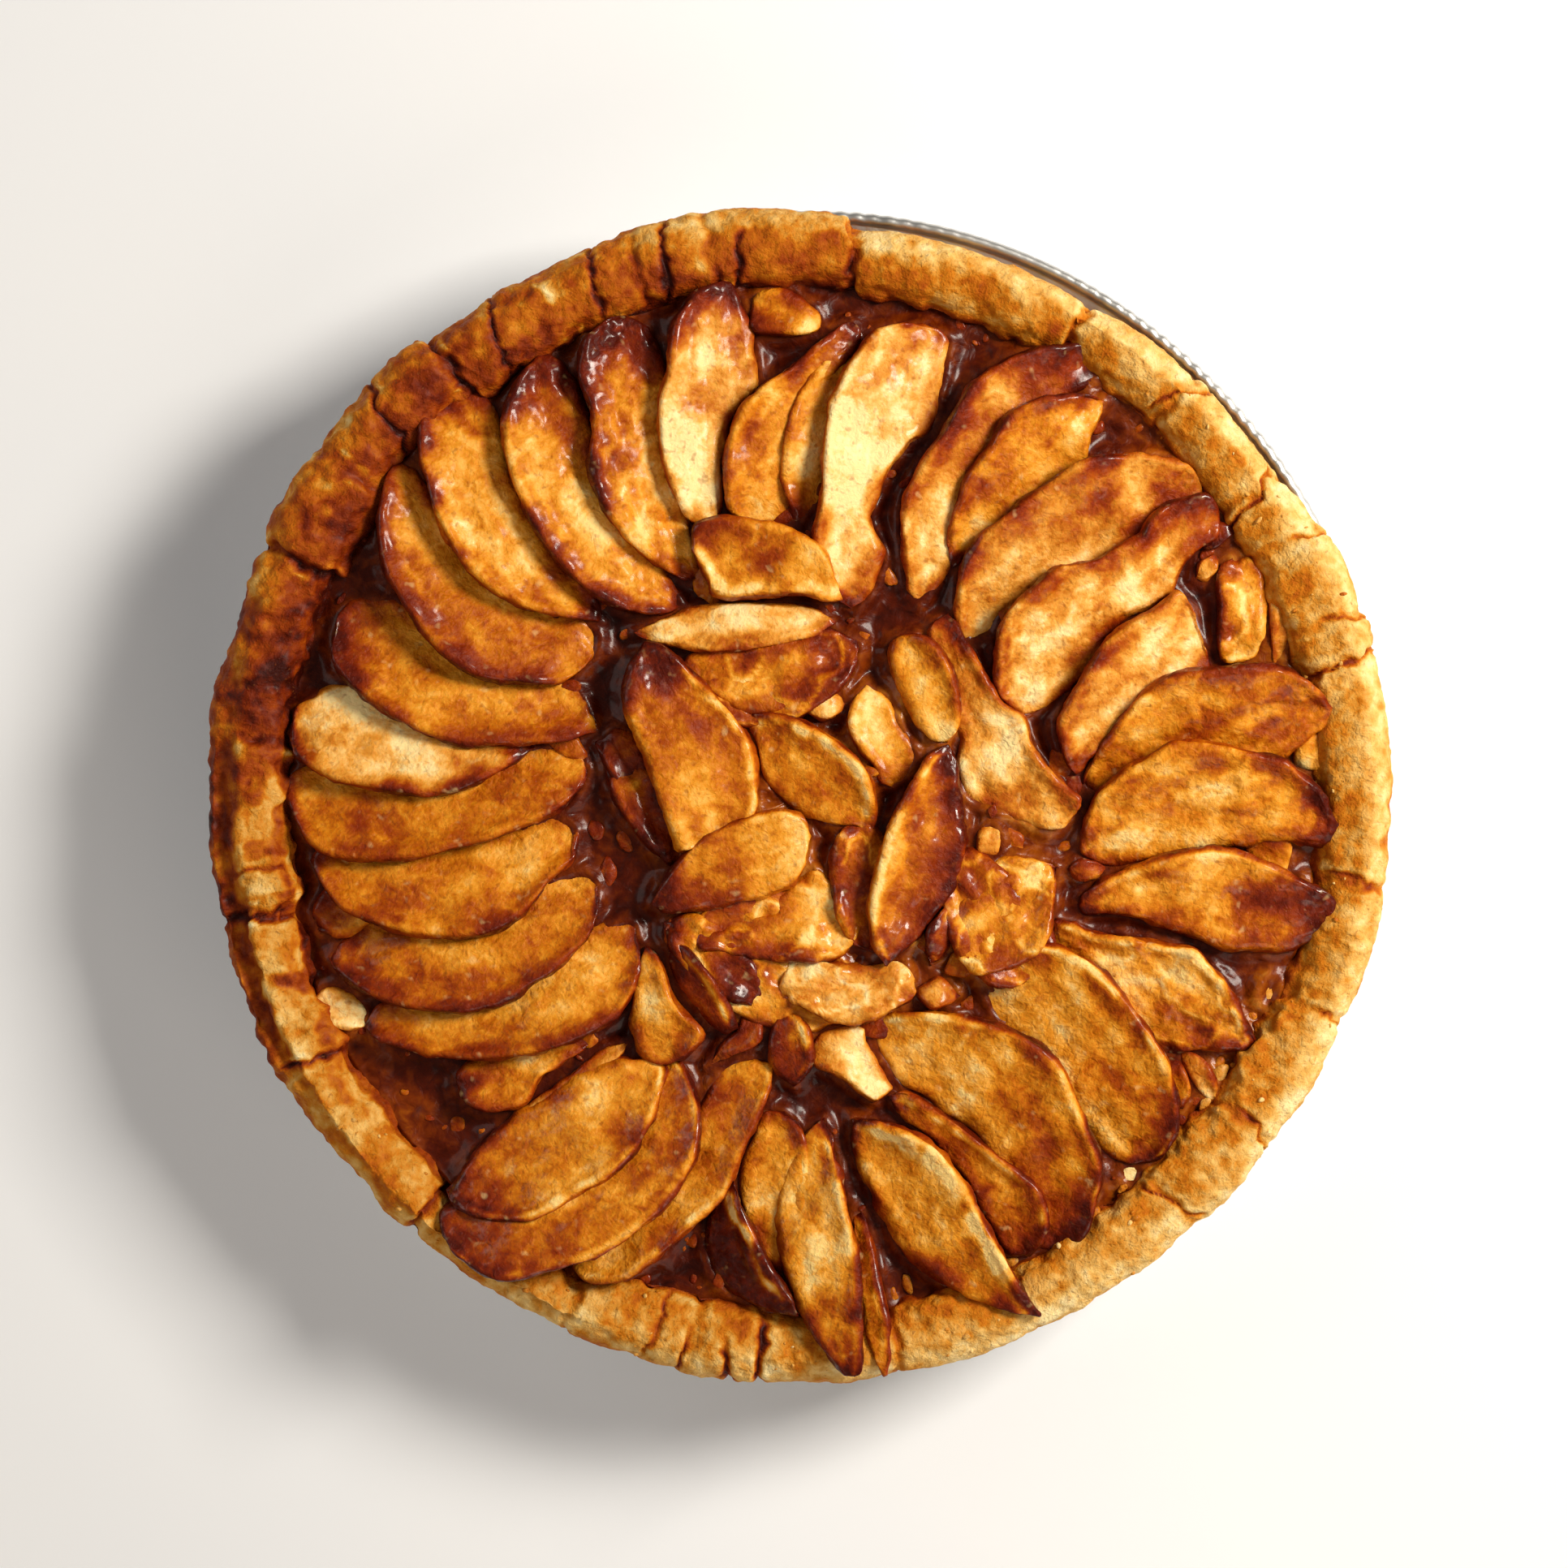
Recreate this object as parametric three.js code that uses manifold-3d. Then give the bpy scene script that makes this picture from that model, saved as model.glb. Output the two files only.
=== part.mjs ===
// A round fruit pie in its shallow foil tin: a pastry shell with a rim rolled in uneven folds, a jellied
// filling up to the rim, and baked fruit slices fanned round the pie and heaped in its middle.
// Millimetres, +Z up. The origin is in the middle of the pie, on the surface that the tin stands on.
// Bearings are degrees from +Y, clockwise as seen from above.
import * as THREE from 'three';
import { mergeVertices } from 'three/addons/utils/BufferGeometryUtils.js';
import Module from 'manifold-3d';

const wasm = await Module();
wasm.setup();

// ---- Driving dimensions ---------------------------------------------------------------------------------

const GAP = 0.3; // clearance between two pieces that touch

const TIN = {
  centre: [0.9, 1.3], // the pastry sits a little to one side in the tin
  sheet: 0.6,
  baseRadius: 86,
  wallTopRadius: 103.5,
  flangeHeight: 26,
  rimRadius: 113.2,
  kneeInset: 2, // the wall starts outside the flat base by this much
  kneeHeight: 1.6,
  beadRadius: 1.15, // the curled edge
  beadTurns: [-90, -30, 30, 90, 150], // degrees round the curl
  beadClearance: 0.4,
  segments: 60,
};

const SHELL = {
  baseThickness: 4,
  wallThickness: 5,
  filledRadius: 98.6, // inside of the wall at the filling's level
  overhangHeight: 28.8, // underside of the rim where it lies over the tin's curled edge
  overhangStart: 4.8, // inwards from the tin's edge, where the rim lifts off the flange
  overhangLift: 0.6,
  innerEdgeHeight: 30.6, // foot of the rim's inner face
};

const FILLING = {
  edgeHeight: 29,
  centreHeight: 31,
  ripple: 0.5,
  rippleWaves: 5,
  rippleTwist: 7, // degrees of bearing that a wave turns with each millimetre of radius
  ringShares: [1, 0.8, 0.55, 0.28],
  segments: 48,
};

// The rolled rim, fold by fold: the bearing where a fold starts, its outer and inner radius and its height.
// A groove runs along the outer shoulder of some folds, and the crease before a fold may be a deep one.
const FOLDS = [
  { from: 5.7, outer: 110.8, inner: 99.5, top: 36.2, deep: true },
  { from: 30.5, outer: 111.2, inner: 101, top: 35.6, deep: true },
  { from: 43.4, outer: 111.6, inner: 100.5, top: 35.8 },
  { from: 56.2, outer: 111.6, inner: 99.5, top: 36.2 },
  { from: 62.5, outer: 114.4, inner: 100, top: 36.6 },
  { from: 71.6, outer: 115.4, inner: 100, top: 36.8 },
  { from: 76.2, outer: 115, inner: 101.5, top: 36.6 },
  { from: 98.6, outer: 114.4, inner: 103, top: 36.2 },
  { from: 112.4, outer: 113.6, inner: 101, top: 36 },
  { from: 126, outer: 113.2, inner: 99.4, top: 35.6 },
  { from: 137.2, outer: 112.9, inner: 99.4, top: 35.4 },
  { from: 156, outer: 112.9, inner: 101.5, top: 35.4 },
  { from: 170, outer: 113.4, inner: 101, top: 35.8 },
  { from: 184, outer: 113.6, inner: 100, top: 36 },
  { from: 190.8, outer: 113.2, inner: 99.4, top: 35.6 },
  { from: 204, outer: 112.4, inner: 104, top: 34.4 },
  { from: 222, outer: 112.8, inner: 102.5, top: 36.2, deep: true },
  { from: 241.6, outer: 114.2, inner: 102, top: 36.8, groove: 1.4 },
  { from: 257.8, outer: 114.6, inner: 99.4, top: 37.2, groove: 2 },
  { from: 276, outer: 114.7, inner: 101.5, top: 36.6, groove: 0.8 },
  { from: 295.3, outer: 115.2, inner: 99.5, top: 37.6, deep: true },
  { from: 306, outer: 115.6, inner: 102, top: 37.2 },
  { from: 321, outer: 113.8, inner: 100, top: 36.8, deep: true },
  { from: 334, outer: 114, inner: 100.5, top: 36.6 },
  { from: 343, outer: 114.4, inner: 100.5, top: 37 },
  { from: 350.7, outer: 114.8, inner: 100.8, top: 37 },
];

const CREASE = {
  halfWidth: 0.45, // degrees of bearing
  outerDepth: 0.6,
  topDepth: 0.9,
  deepening: 2.2, // how many times deeper a deep crease is
};

const FOLD_SWELL = 0.7; // how much fuller a fold is in its middle than at its ends
const FOLD_DRIFT = 0.35; // how far a fold runs towards the size of the next one
const RIM_STEP = 4; // degrees between two sections of the rim

// The rolled rim's section, from its underside over the top to its inner face. A point lies at `side`, from
// the fold's outer edge (0) to its inner edge (1), moved inwards, at a share of the fold's height. `swell` is
// the way, inwards and up, in which the section grows.
const RIM_SECTION = [
  { side: 0, inwards: 0.8, level: 0, swell: [-1, -1] },
  { side: 0, inwards: 0, level: 0.25, swell: [-1, 0] },
  { side: 0, inwards: 0.9, level: 0.62, swell: [-1, 0] },
  { side: 0, inwards: 3.4, level: 0.92, swell: [0, 1], grooved: true },
  { side: 0.5, inwards: -0.6, level: 1, swell: [0, 1] },
  { side: 1, inwards: -2.8, level: 0.84, swell: [0, 1] },
  { side: 1, inwards: -0.5, level: 0.5, swell: [1, 1] },
];

const SLICE = {
  thickness: 5,
  lean: 16, // degrees: the back edge lies on the slice before it, the core edge on the filling
  sink: 1.2, // how far the core edge lies in the filling
  droop: 1, // how far both tips sag below the middle
  tipThickness: 0.45, // share of the thickness that is left at a tip
  taper: 1.1, // how quickly the bow narrows towards the tips
  stations: 6,
};

// A slice's section, from its thin core edge (0) to its thick rounded back (1), as shares of its width and
// thickness.
const SLICE_SECTION = [
  [0, -0.16],
  [0.05, 0.2],
  [0.5, 0.4],
  [0.93, 0.5],
  [1, 0],
  [0.9, -0.5],
  [0.45, -0.42],
];

// The solid that the slices are set on reaches down to here, inside the shell and the filling.
const BED = {
  footRadius: 80,
  foot: 2,
  fillingFoot: 10,
  overlap: 3,
};

// Each slice lies between two tips, in plan, the outer one first. Its core edge and its back edge bow to the
// right of the way from tip to tip by the two `bows`. Rows run from the lowest slice to the highest.
const SLICES = [
  { name: 'scrap_top', tips: [[-10, 97], [4, 91]], bows: [-4, 4], lean: 4, tone: 'dark' },
  { name: 'scrap_left', tips: [[-94, -38], [-83, -44]], bows: [-4, 4], lean: 4, tone: 'pale' },
  { name: 'tucked_bottom', tips: [[-5, -90], [1, -61]], bows: [-8, 5], lean: 8, tone: 'gold' },
  { name: 'tucked_left', tips: [[-68, -57], [-40, -48]], bows: [-7, 7], lean: 8, tone: 'amber' },
  { name: 'ring_01', tips: [[-83, -44], [-30, -26]], bows: [-3, 14.5], tone: 'amber' },
  { name: 'ring_02', tips: [[-90, -31], [-39, -16]], bows: [-3, 17.5], tone: 'amber' },
  { name: 'ring_03', tips: [[-94, -13], [-43, -8]], bows: [-3, 16], tone: 'amber' },
  { name: 'ring_04', tips: [[-99, 3], [-40, 8]], bows: [-3, 16.5], tone: 'amber' },
  { name: 'ring_05', tips: [[-99, 14.5], [-51, 9]], bows: [-8, 11.5], tone: 'pale' },
  { name: 'ring_06', tips: [[-90, 35], [-39, 16]], bows: [-5, 15.5], tone: 'amber' },
  { name: 'ring_07', tips: [[-78, 64], [-36, 24]], bows: [-1, 18], tone: 'gold' },
  { name: 'ring_08', tips: [[-71, 79], [-37, 33]], bows: [-5, 15], tone: 'gold' },
  { name: 'ring_09', tips: [[-50, 86], [-23, 38]], bows: [-2, 16.5], tone: 'gold' },
  { name: 'ring_10', tips: [[-33, 93], [-19, 43]], bows: [-4, 15.5], tone: 'gold' },
  { name: 'ring_11', tips: [[-12.5, 100], [-19, 53]], bows: [-7, 12], tone: 'pale' },
  { name: 'ring_12', tips: [[12, 93], [-6, 52]], bows: [-3, 13.5], tone: 'gold' },
  { name: 'ring_13', tips: [[14, 90], [0, 52]], bows: [-4, 6], thickness: 3.4, tone: 'gold' },
  { name: 'ring_14', tips: [[30, 91], [11, 36]], bows: [-3, 17], tone: 'pale' },
  { name: 'ring_15', tips: [[56, 85], [23, 37]], bows: [1, 18], tone: 'pale' },
  { name: 'ring_16', tips: [[58, 77], [30, 44]], bows: [-5, 10], tone: 'amber' },
  { name: 'ring_17', tips: [[78, 60], [33, 29]], bows: [0, 18], tone: 'pale' },
  { name: 'ring_18', tips: [[82, 55], [41, 17]], bows: [-4, 14], tone: 'pale' },
  { name: 'ring_19', tips: [[78, 38], [52, 4]], bows: [-7, 12], tone: 'pale' },
  { name: 'block_right', tips: [[84, 48], [87, 26]], bows: [-4.5, 6.5], lean: 2, tone: 'gold' },
  { name: 'ring_20', tips: [[102, 17], [54, 6]], bows: [-4, 13.5], rise: 3, tone: 'gold' },
  { name: 'ring_21', tips: [[104, -6], [54.5, -10]], bows: [-1, 18.5], rise: 3, tone: 'amber' },
  { name: 'ring_22', tips: [[103, -23], [54.5, -19]], bows: [-7, 11], rise: 3, lean: 10, tone: 'amber' },
  { name: 'ring_23', tips: [[88, -47], [51, -24]], bows: [-7, 9], tone: 'gold' },
  { name: 'ring_24', tips: [[69, -69], [33, -34]], bows: [-3, 18.5], tone: 'gold' },
  { name: 'ring_25', tips: [[53, -84], [16, -44]], bows: [-3, 19], tone: 'gold' },
  { name: 'ring_26', tips: [[44, -88], [14, -59]], bows: [-6, 9], tone: 'amber' },
  { name: 'ring_27', tips: [[46, -99], [9, -62]], bows: [-9, 8], rise: 4, tone: 'gold' },
  { name: 'ring_28', tips: [[16, -109], [11, -76]], bows: [-4, 3], rise: 6, lean: 6, tone: 'gold' },
  { name: 'ring_29', tips: [[9, -110], [5, -63]], bows: [-11, 5], rise: 6, tone: 'gold' },
  { name: 'ring_30', tips: [[0, -99], [-12, -72]], bows: [-9, 3], lean: 34, tone: 'dark' },
  { name: 'ring_31', tips: [[-42, -92], [-6, -50]], bows: [-7, 9.5], tone: 'amber' },
  { name: 'ring_32', tips: [[-66, -89], [-24, -51]], bows: [-1, 17], rise: 5, tone: 'amber' },
  { name: 'ring_33', tips: [[-66, -76], [-26, -51]], bows: [-6, 12.5], lift: 1.5, tone: 'amber' },
  { name: 'heap_01', tips: [[-38, 10], [-28, 4]], bows: [-4.5, 4.5], lean: 4, tone: 'dark' },
  { name: 'heap_02', tips: [[-19, 23], [3, 22]], bows: [-6, 7.5], lean: 6, tone: 'amber' },
  { name: 'heap_03', tips: [[-32, 31], [7, 34]], bows: [-4, 4], lean: 8, lift: 1.5, tone: 'pale' },
  { name: 'heap_04', tips: [[-22, 47], [12, 42]], bows: [-8, 7], lean: -8, lift: 4, tone: 'amber' },
  { name: 'heap_05', tips: [[12.5, 21.5], [19.5, 2]], bows: [-5, 5], lean: 5, lift: 0.4, tone: 'gold' },
  { name: 'heap_06', tips: [[52, -4], [29, 36]], bows: [-12, 3.5], lean: 6, lift: 1, tone: 'gold' },
  { name: 'heap_07', tips: [[28, 11], [19, 32]], bows: [-5.5, 5.5], lean: 10, lift: 2, tone: 'gold' },
  { name: 'heap_08', tips: [[12, -10], [-8, 16]], bows: [-6, 10], lean: 14, lift: 0.8, tone: 'amber' },
  { name: 'heap_09', tips: [[-16, -9], [-33, 31]], bows: [-5, 14], lean: -10, lift: 2.6, tone: 'amber' },
  { name: 'heap_10', tips: [[37, -4], [36, -13]], bows: [-3, 3], lean: 2, lift: 0.5, tone: 'pale' },
  { name: 'heap_11', tips: [[28, -31], [49, -12]], bows: [-11, 11], lean: 6, lift: 1.6, tone: 'amber' },
  { name: 'heap_12', tips: [[-15, -22], [14, -25]], bows: [-12, 9], lean: 6, lift: 0.4, tone: 'gold' },
  { name: 'heap_13', tips: [[-4, -36], [22, -38]], bows: [-6.5, 6.5], lean: 5, lift: 1.6, tone: 'pale' },
  { name: 'heap_14', tips: [[30, 11], [17, -32]], bows: [-6, 9], lean: 12, lift: 3, tone: 'dark' },
  { name: 'heap_15', tips: [[1, -4], [-29, -20]], bows: [-9, 7.5], lean: 4, lift: 3.6, tone: 'amber' },
  { name: 'heap_16', tips: [[-24, -50], [-30, -28]], bows: [-6.5, 6.5], lean: 8, lift: 1.4, tone: 'gold' },
  { name: 'heap_17', tips: [[-12.5, -45.5], [-24, -23]], bows: [-4, 4], lean: 24, lift: 1.4, tone: 'dark' },
  { name: 'heap_18', tips: [[-16, -51], [-8, -40]], bows: [-4.5, 4.5], lean: 4, tone: 'gold' },
  { name: 'heap_19', tips: [[2, -46], [17, -55]], bows: [-6, 6], lean: 4, lift: 0.8, tone: 'pale' },
];

// ---- Materials ------------------------------------------------------------------------------------------

const SLICE_TONES = {
  pale: 0xd9a254,
  gold: 0xc98534,
  amber: 0xb86414,
  dark: 0x7a2c08,
};

function matte(colour, roughness) {
  return new THREE.MeshStandardMaterial({ color: colour, roughness, metalness: 0 });
}

function foil() {
  return new THREE.MeshStandardMaterial({ color: 0xc9c8c4, roughness: 0.3, metalness: 1 });
}

// ---- Small helpers --------------------------------------------------------------------------------------

const radians = THREE.MathUtils.degToRad;
const lerp = THREE.MathUtils.lerp;

function onBearing(degrees, radius, height, centre = [0, 0]) {
  const angle = radians(degrees);
  const reach = [radius * Math.sin(angle), radius * Math.cos(angle)];
  return new THREE.Vector3(centre[0] + reach[0], centre[1] + reach[1], height);
}

function signedVolume(positions, triangles) {
  const [a, b, c] = [new THREE.Vector3(), new THREE.Vector3(), new THREE.Vector3()];
  let total = 0;
  for (let i = 0; i < triangles.length; i += 3) {
    [a, b, c].forEach((corner, k) => corner.fromArray(positions, triangles[i + k] * 3));
    total += a.dot(b.cross(c)) / 6;
  }
  return total;
}

// A closed solid through rings of equally many points, shut by one point before the first ring and one
// after the last.
function loft(firstPole, rings, lastPole) {
  const count = rings[0].length;
  const points = [firstPole, ...rings.flat(), lastPole];
  const last = points.length - 1;
  const triangles = [];
  const at = (ring, k) => 1 + ring * count + (k % count);
  for (let k = 0; k < count; k += 1) {
    triangles.push(0, at(0, k), at(0, k + 1));
    triangles.push(last, at(rings.length - 1, k + 1), at(rings.length - 1, k));
    for (let ring = 0; ring + 1 < rings.length; ring += 1) {
      triangles.push(at(ring, k), at(ring + 1, k), at(ring + 1, k + 1));
      triangles.push(at(ring, k), at(ring + 1, k + 1), at(ring, k + 1));
    }
  }
  const positions = points.flatMap((point) => point.toArray());
  if (signedVolume(positions, triangles) < 0) {
    triangles.reverse();
  }
  const geometry = new THREE.BufferGeometry();
  geometry.setAttribute('position', new THREE.Float32BufferAttribute(positions, 3));
  geometry.setIndex(triangles);
  return geometry;
}

function toSolid(geometry) {
  const bare = geometry.clone();
  bare.deleteAttribute('normal');
  bare.deleteAttribute('uv');
  const merged = mergeVertices(bare);
  return new wasm.Manifold(new wasm.Mesh({
    numProp: 3,
    vertProperties: new Float32Array(merged.attributes.position.array),
    triVerts: new Uint32Array(merged.index.array),
  }));
}

function toGeometry(solid) {
  const mesh = solid.getMesh();
  const geometry = new THREE.BufferGeometry();
  geometry.setAttribute('position', new THREE.Float32BufferAttribute(mesh.vertProperties, 3));
  geometry.setIndex([...mesh.triVerts]);
  return geometry;
}

function largestPiece(solid) {
  return solid.decompose().reduce((best, piece) => (piece.volume() > best.volume() ? piece : best));
}

function sceneMesh(name, geometry, material) {
  geometry.computeVertexNormals();
  const mesh = new THREE.Mesh(geometry, material);
  mesh.name = name;
  return mesh;
}

// ---- Foil tin -------------------------------------------------------------------------------------------

function makeTin() {
  const { sheet, baseRadius, kneeInset, kneeHeight, wallTopRadius } = TIN;
  const { flangeHeight, rimRadius, beadRadius } = TIN;
  const flatRadius = baseRadius - kneeInset;
  const beadCentre = new THREE.Vector2(rimRadius - beadRadius, flangeHeight + beadRadius - sheet);
  const bead = TIN.beadTurns.map((turn) => {
    const angle = radians(turn);
    return new THREE.Vector2(Math.cos(angle), Math.sin(angle)).multiplyScalar(beadRadius).add(beadCentre);
  });
  const profile = [
    new THREE.Vector2(0, 0),
    new THREE.Vector2(flatRadius, 0),
    new THREE.Vector2(baseRadius, kneeHeight),
    new THREE.Vector2(wallTopRadius, flangeHeight - sheet),
    ...bead,
    new THREE.Vector2(rimRadius - 2 * beadRadius - TIN.beadClearance, flangeHeight),
    new THREE.Vector2(wallTopRadius - sheet, flangeHeight),
    new THREE.Vector2(baseRadius - sheet, kneeHeight + sheet),
    new THREE.Vector2(flatRadius - sheet, sheet),
    new THREE.Vector2(0, sheet),
  ];
  const geometry = new THREE.LatheGeometry(profile, TIN.segments);
  geometry.rotateX(Math.PI / 2);
  geometry.translate(TIN.centre[0], TIN.centre[1], 0);
  geometry.deleteAttribute('normal');
  geometry.deleteAttribute('uv');
  return sceneMesh('tin', mergeVertices(geometry, 1e-4), foil());
}

// ---- Pastry ---------------------------------------------------------------------------------------------

// Bearings of the rim's sections: an even spread, and three close together at each crease.
function rimBearings() {
  const creases = FOLDS.flatMap(({ from }) => [from - CREASE.halfWidth, from, from + CREASE.halfWidth]);
  const spread = [];
  for (let bearing = 0; bearing < 360; bearing += RIM_STEP) {
    if (FOLDS.every(({ from }) => Math.abs(bearing - from) > RIM_STEP / 3)) {
      spread.push(bearing);
    }
  }
  return [...creases, ...spread].sort((a, b) => a - b);
}

// The rim at one bearing: the fold that it is in, fuller in the middle, and pinched at a crease.
function rimAt(bearing) {
  const turned = bearing < FOLDS[0].from ? bearing + 360 : bearing;
  const index = FOLDS.findLastIndex(({ from }) => from <= turned);
  const fold = FOLDS[index];
  const next = FOLDS[(index + 1) % FOLDS.length];
  const end = next.from > fold.from ? next.from : next.from + 360;
  const share = (turned - fold.from) / (end - fold.from);
  const swell = FOLD_SWELL * Math.sin(Math.PI * share);
  const crease = fold.deep ? CREASE.deepening : 1;
  const pinched = share === 0 ? crease : 0;
  const drift = FOLD_DRIFT * share;
  return {
    outer: lerp(fold.outer, next.outer, drift) + swell * 0.5 - pinched * CREASE.outerDepth,
    inner: lerp(fold.inner, next.inner, drift) - swell + pinched * CREASE.outerDepth,
    top: lerp(fold.top, next.top, drift) + swell - pinched * CREASE.topDepth,
    groove: (fold.groove ?? 0) * Math.sin(Math.PI * share),
  };
}

// The rim's skin at one bearing, from its underside over the top to the foot of its inner face.
function rimSection(bearing, grow = 0) {
  const { outer, inner, top, groove } = rimAt(bearing);
  const skin = RIM_SECTION.map(({ side, inwards, level, swell, grooved }) => {
    const radius = lerp(outer, inner, side) - inwards - swell[0] * grow;
    const height = lerp(SHELL.overhangHeight, top, level) + swell[1] * grow - (grooved ? groove : 0);
    return onBearing(bearing, radius, height);
  });
  return [...skin, onBearing(bearing, inner - grow, SHELL.innerEdgeHeight)];
}

function transpose(sections) {
  return sections[0].map((_, k) => sections.map((section) => section[k]));
}

function makePastry() {
  const bearings = rimBearings();
  const floor = TIN.sheet + GAP;
  const flange = TIN.flangeHeight + GAP;
  const innerFloor = floor + SHELL.baseThickness;
  const innerBase = TIN.baseRadius - SHELL.wallThickness;
  const sections = bearings.map((bearing) => [
    onBearing(bearing, TIN.baseRadius - TIN.kneeInset - TIN.sheet - 2 * GAP, floor, TIN.centre),
    onBearing(bearing, TIN.wallTopRadius - TIN.sheet - 2 * GAP, flange, TIN.centre),
    onBearing(bearing, TIN.rimRadius - SHELL.overhangStart, flange + SHELL.overhangLift, TIN.centre),
    ...rimSection(bearing),
    onBearing(bearing, SHELL.filledRadius, FILLING.edgeHeight - 2 * GAP),
    onBearing(bearing, innerBase, innerFloor),
  ]);
  const under = new THREE.Vector3(TIN.centre[0], TIN.centre[1], floor);
  const inside = new THREE.Vector3(0, 0, innerFloor);
  return sceneMesh('crust', loft(under, transpose(sections), inside), matte(0xc48a42, 0.75));
}

// ---- Filling --------------------------------------------------------------------------------------------

function fillingHeight(radius) {
  const share = Math.min(radius / SHELL.filledRadius, 1);
  return lerp(FILLING.centreHeight, FILLING.edgeHeight, share * share);
}

function fillingRings(grow = 0) {
  const bearings = Array.from({ length: FILLING.segments }, (_, k) => (k * 360) / FILLING.segments);
  return FILLING.ringShares.map((share) => bearings.map((bearing) => {
    const radius = (SHELL.filledRadius - 2 * GAP) * share;
    const turn = bearing * FILLING.rippleWaves + radius * FILLING.rippleTwist;
    const wave = Math.sin(radians(turn)) * FILLING.ripple * (1 - share);
    return onBearing(bearing, radius, fillingHeight(radius) + wave + grow);
  }));
}

function makeFilling() {
  const bottom = TIN.sheet + SHELL.baseThickness + 2 * GAP;
  const bottomRadius = TIN.baseRadius - SHELL.wallThickness - 2 * GAP;
  const bearings = Array.from({ length: FILLING.segments }, (_, k) => (k * 360) / FILLING.segments);
  const foot = bearings.map((bearing) => onBearing(bearing, bottomRadius, bottom));
  const under = new THREE.Vector3(0, 0, bottom);
  const crown = new THREE.Vector3(0, 0, FILLING.centreHeight);
  return sceneMesh('filling', loft(under, [foot, ...fillingRings()], crown), matte(0x6b2c0c, 0.25));
}

// What the slices lie on: the filling and the rim, a gap larger all over.
function makeBed() {
  const bearings = rimBearings();
  const rim = transpose(bearings.map((bearing) => [
    onBearing(bearing, BED.footRadius, BED.foot),
    ...rimSection(bearing, GAP),
    onBearing(bearing, SHELL.filledRadius - BED.overlap, FILLING.edgeHeight + GAP),
  ]));
  const rimFoot = new THREE.Vector3(0, 0, BED.foot);
  const rimMiddle = new THREE.Vector3(0, 0, FILLING.edgeHeight - BED.overlap);
  const fillingFoot = new THREE.Vector3(0, 0, BED.fillingFoot);
  const fillingCrown = new THREE.Vector3(0, 0, FILLING.centreHeight + GAP);
  const rimSolid = toSolid(loft(rimFoot, rim, rimMiddle));
  return rimSolid.add(toSolid(loft(fillingFoot, fillingRings(GAP), fillingCrown)));
}

// ---- Fruit slices ---------------------------------------------------------------------------------------

function sliceSolid(slice, grow = 0) {
  const { thickness = SLICE.thickness, lean = SLICE.lean, rise = 0, lift = 0 } = slice;
  const [outer, inner] = slice.tips.map(([x, y]) => new THREE.Vector2(x, y));
  const [core, back] = slice.bows;
  const along = inner.clone().sub(outer).normalize();
  const across = new THREE.Vector2(along.y, -along.x);
  outer.addScaledVector(along, -grow);
  inner.addScaledVector(along, grow);
  const length = inner.distanceTo(outer);
  const bed = fillingHeight((outer.length() + inner.length()) / 2) - SLICE.sink + lift;
  const lowEdge = lean < 0 ? back : core;

  const point = (turn, side, level) => {
    const round = Math.sin(turn);
    const share = (1 - Math.cos(turn)) / 2;
    const offset = lerp(core - grow, back + grow, side) * round ** SLICE.taper;
    const deep = (thickness + 2 * grow) * lerp(SLICE.tipThickness, 1, round);
    const tilt = (offset - lowEdge) * Math.tan(radians(lean)) + rise * (1 - share);
    const sag = SLICE.droop * (1 - round * round);
    const height = bed + thickness / 2 + tilt - sag;
    const place = outer.clone().addScaledVector(along, share * length).addScaledVector(across, offset);
    return new THREE.Vector3(place.x, place.y, height + level * deep);
  };

  const rings = [];
  for (let k = 1; k < SLICE.stations; k += 1) {
    rings.push(SLICE_SECTION.map(([side, level]) => point((Math.PI * k) / SLICE.stations, side, level)));
  }
  return toSolid(loft(point(0, 0, 0), rings, point(Math.PI, 0, 0)));
}

function apart(first, second) {
  const [a, b] = [first.boundingBox(), second.boundingBox()];
  return [0, 1, 2].some((k) => a.max[k] < b.min[k] || b.max[k] < a.min[k]);
}

// Each slice gives way to the slices that lie on it, and rests on the bed.
function makeSlices() {
  const bed = makeBed();
  const covers = SLICES.map((slice) => sliceSolid(slice, GAP));
  return SLICES.map((slice, index) => {
    let solid = sliceSolid(slice).subtract(bed);
    for (const cover of covers.slice(index + 1)) {
      if (!apart(solid, cover)) {
        solid = solid.subtract(cover);
      }
    }
    const colour = SLICE_TONES[slice.tone];
    return sceneMesh(slice.name, toGeometry(largestPiece(solid)), matte(colour, 0.45));
  });
}

// ---- Whole pie ------------------------------------------------------------------------------------------

const pie = new THREE.Group();
pie.name = 'fruit_pie';
pie.add(makeTin(), makePastry(), makeFilling(), ...makeSlices());

export default pie;
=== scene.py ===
"""A baked fruit pie in its foil tin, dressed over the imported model.

Shapes are worked out in millimetres and in bearings, which are degrees from +Y, clockwise from above. Meshes
are turned to metres as they are made.
"""

import logging
from dataclasses import dataclass
from enum import Enum
from itertools import product
from typing import Sequence

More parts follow.
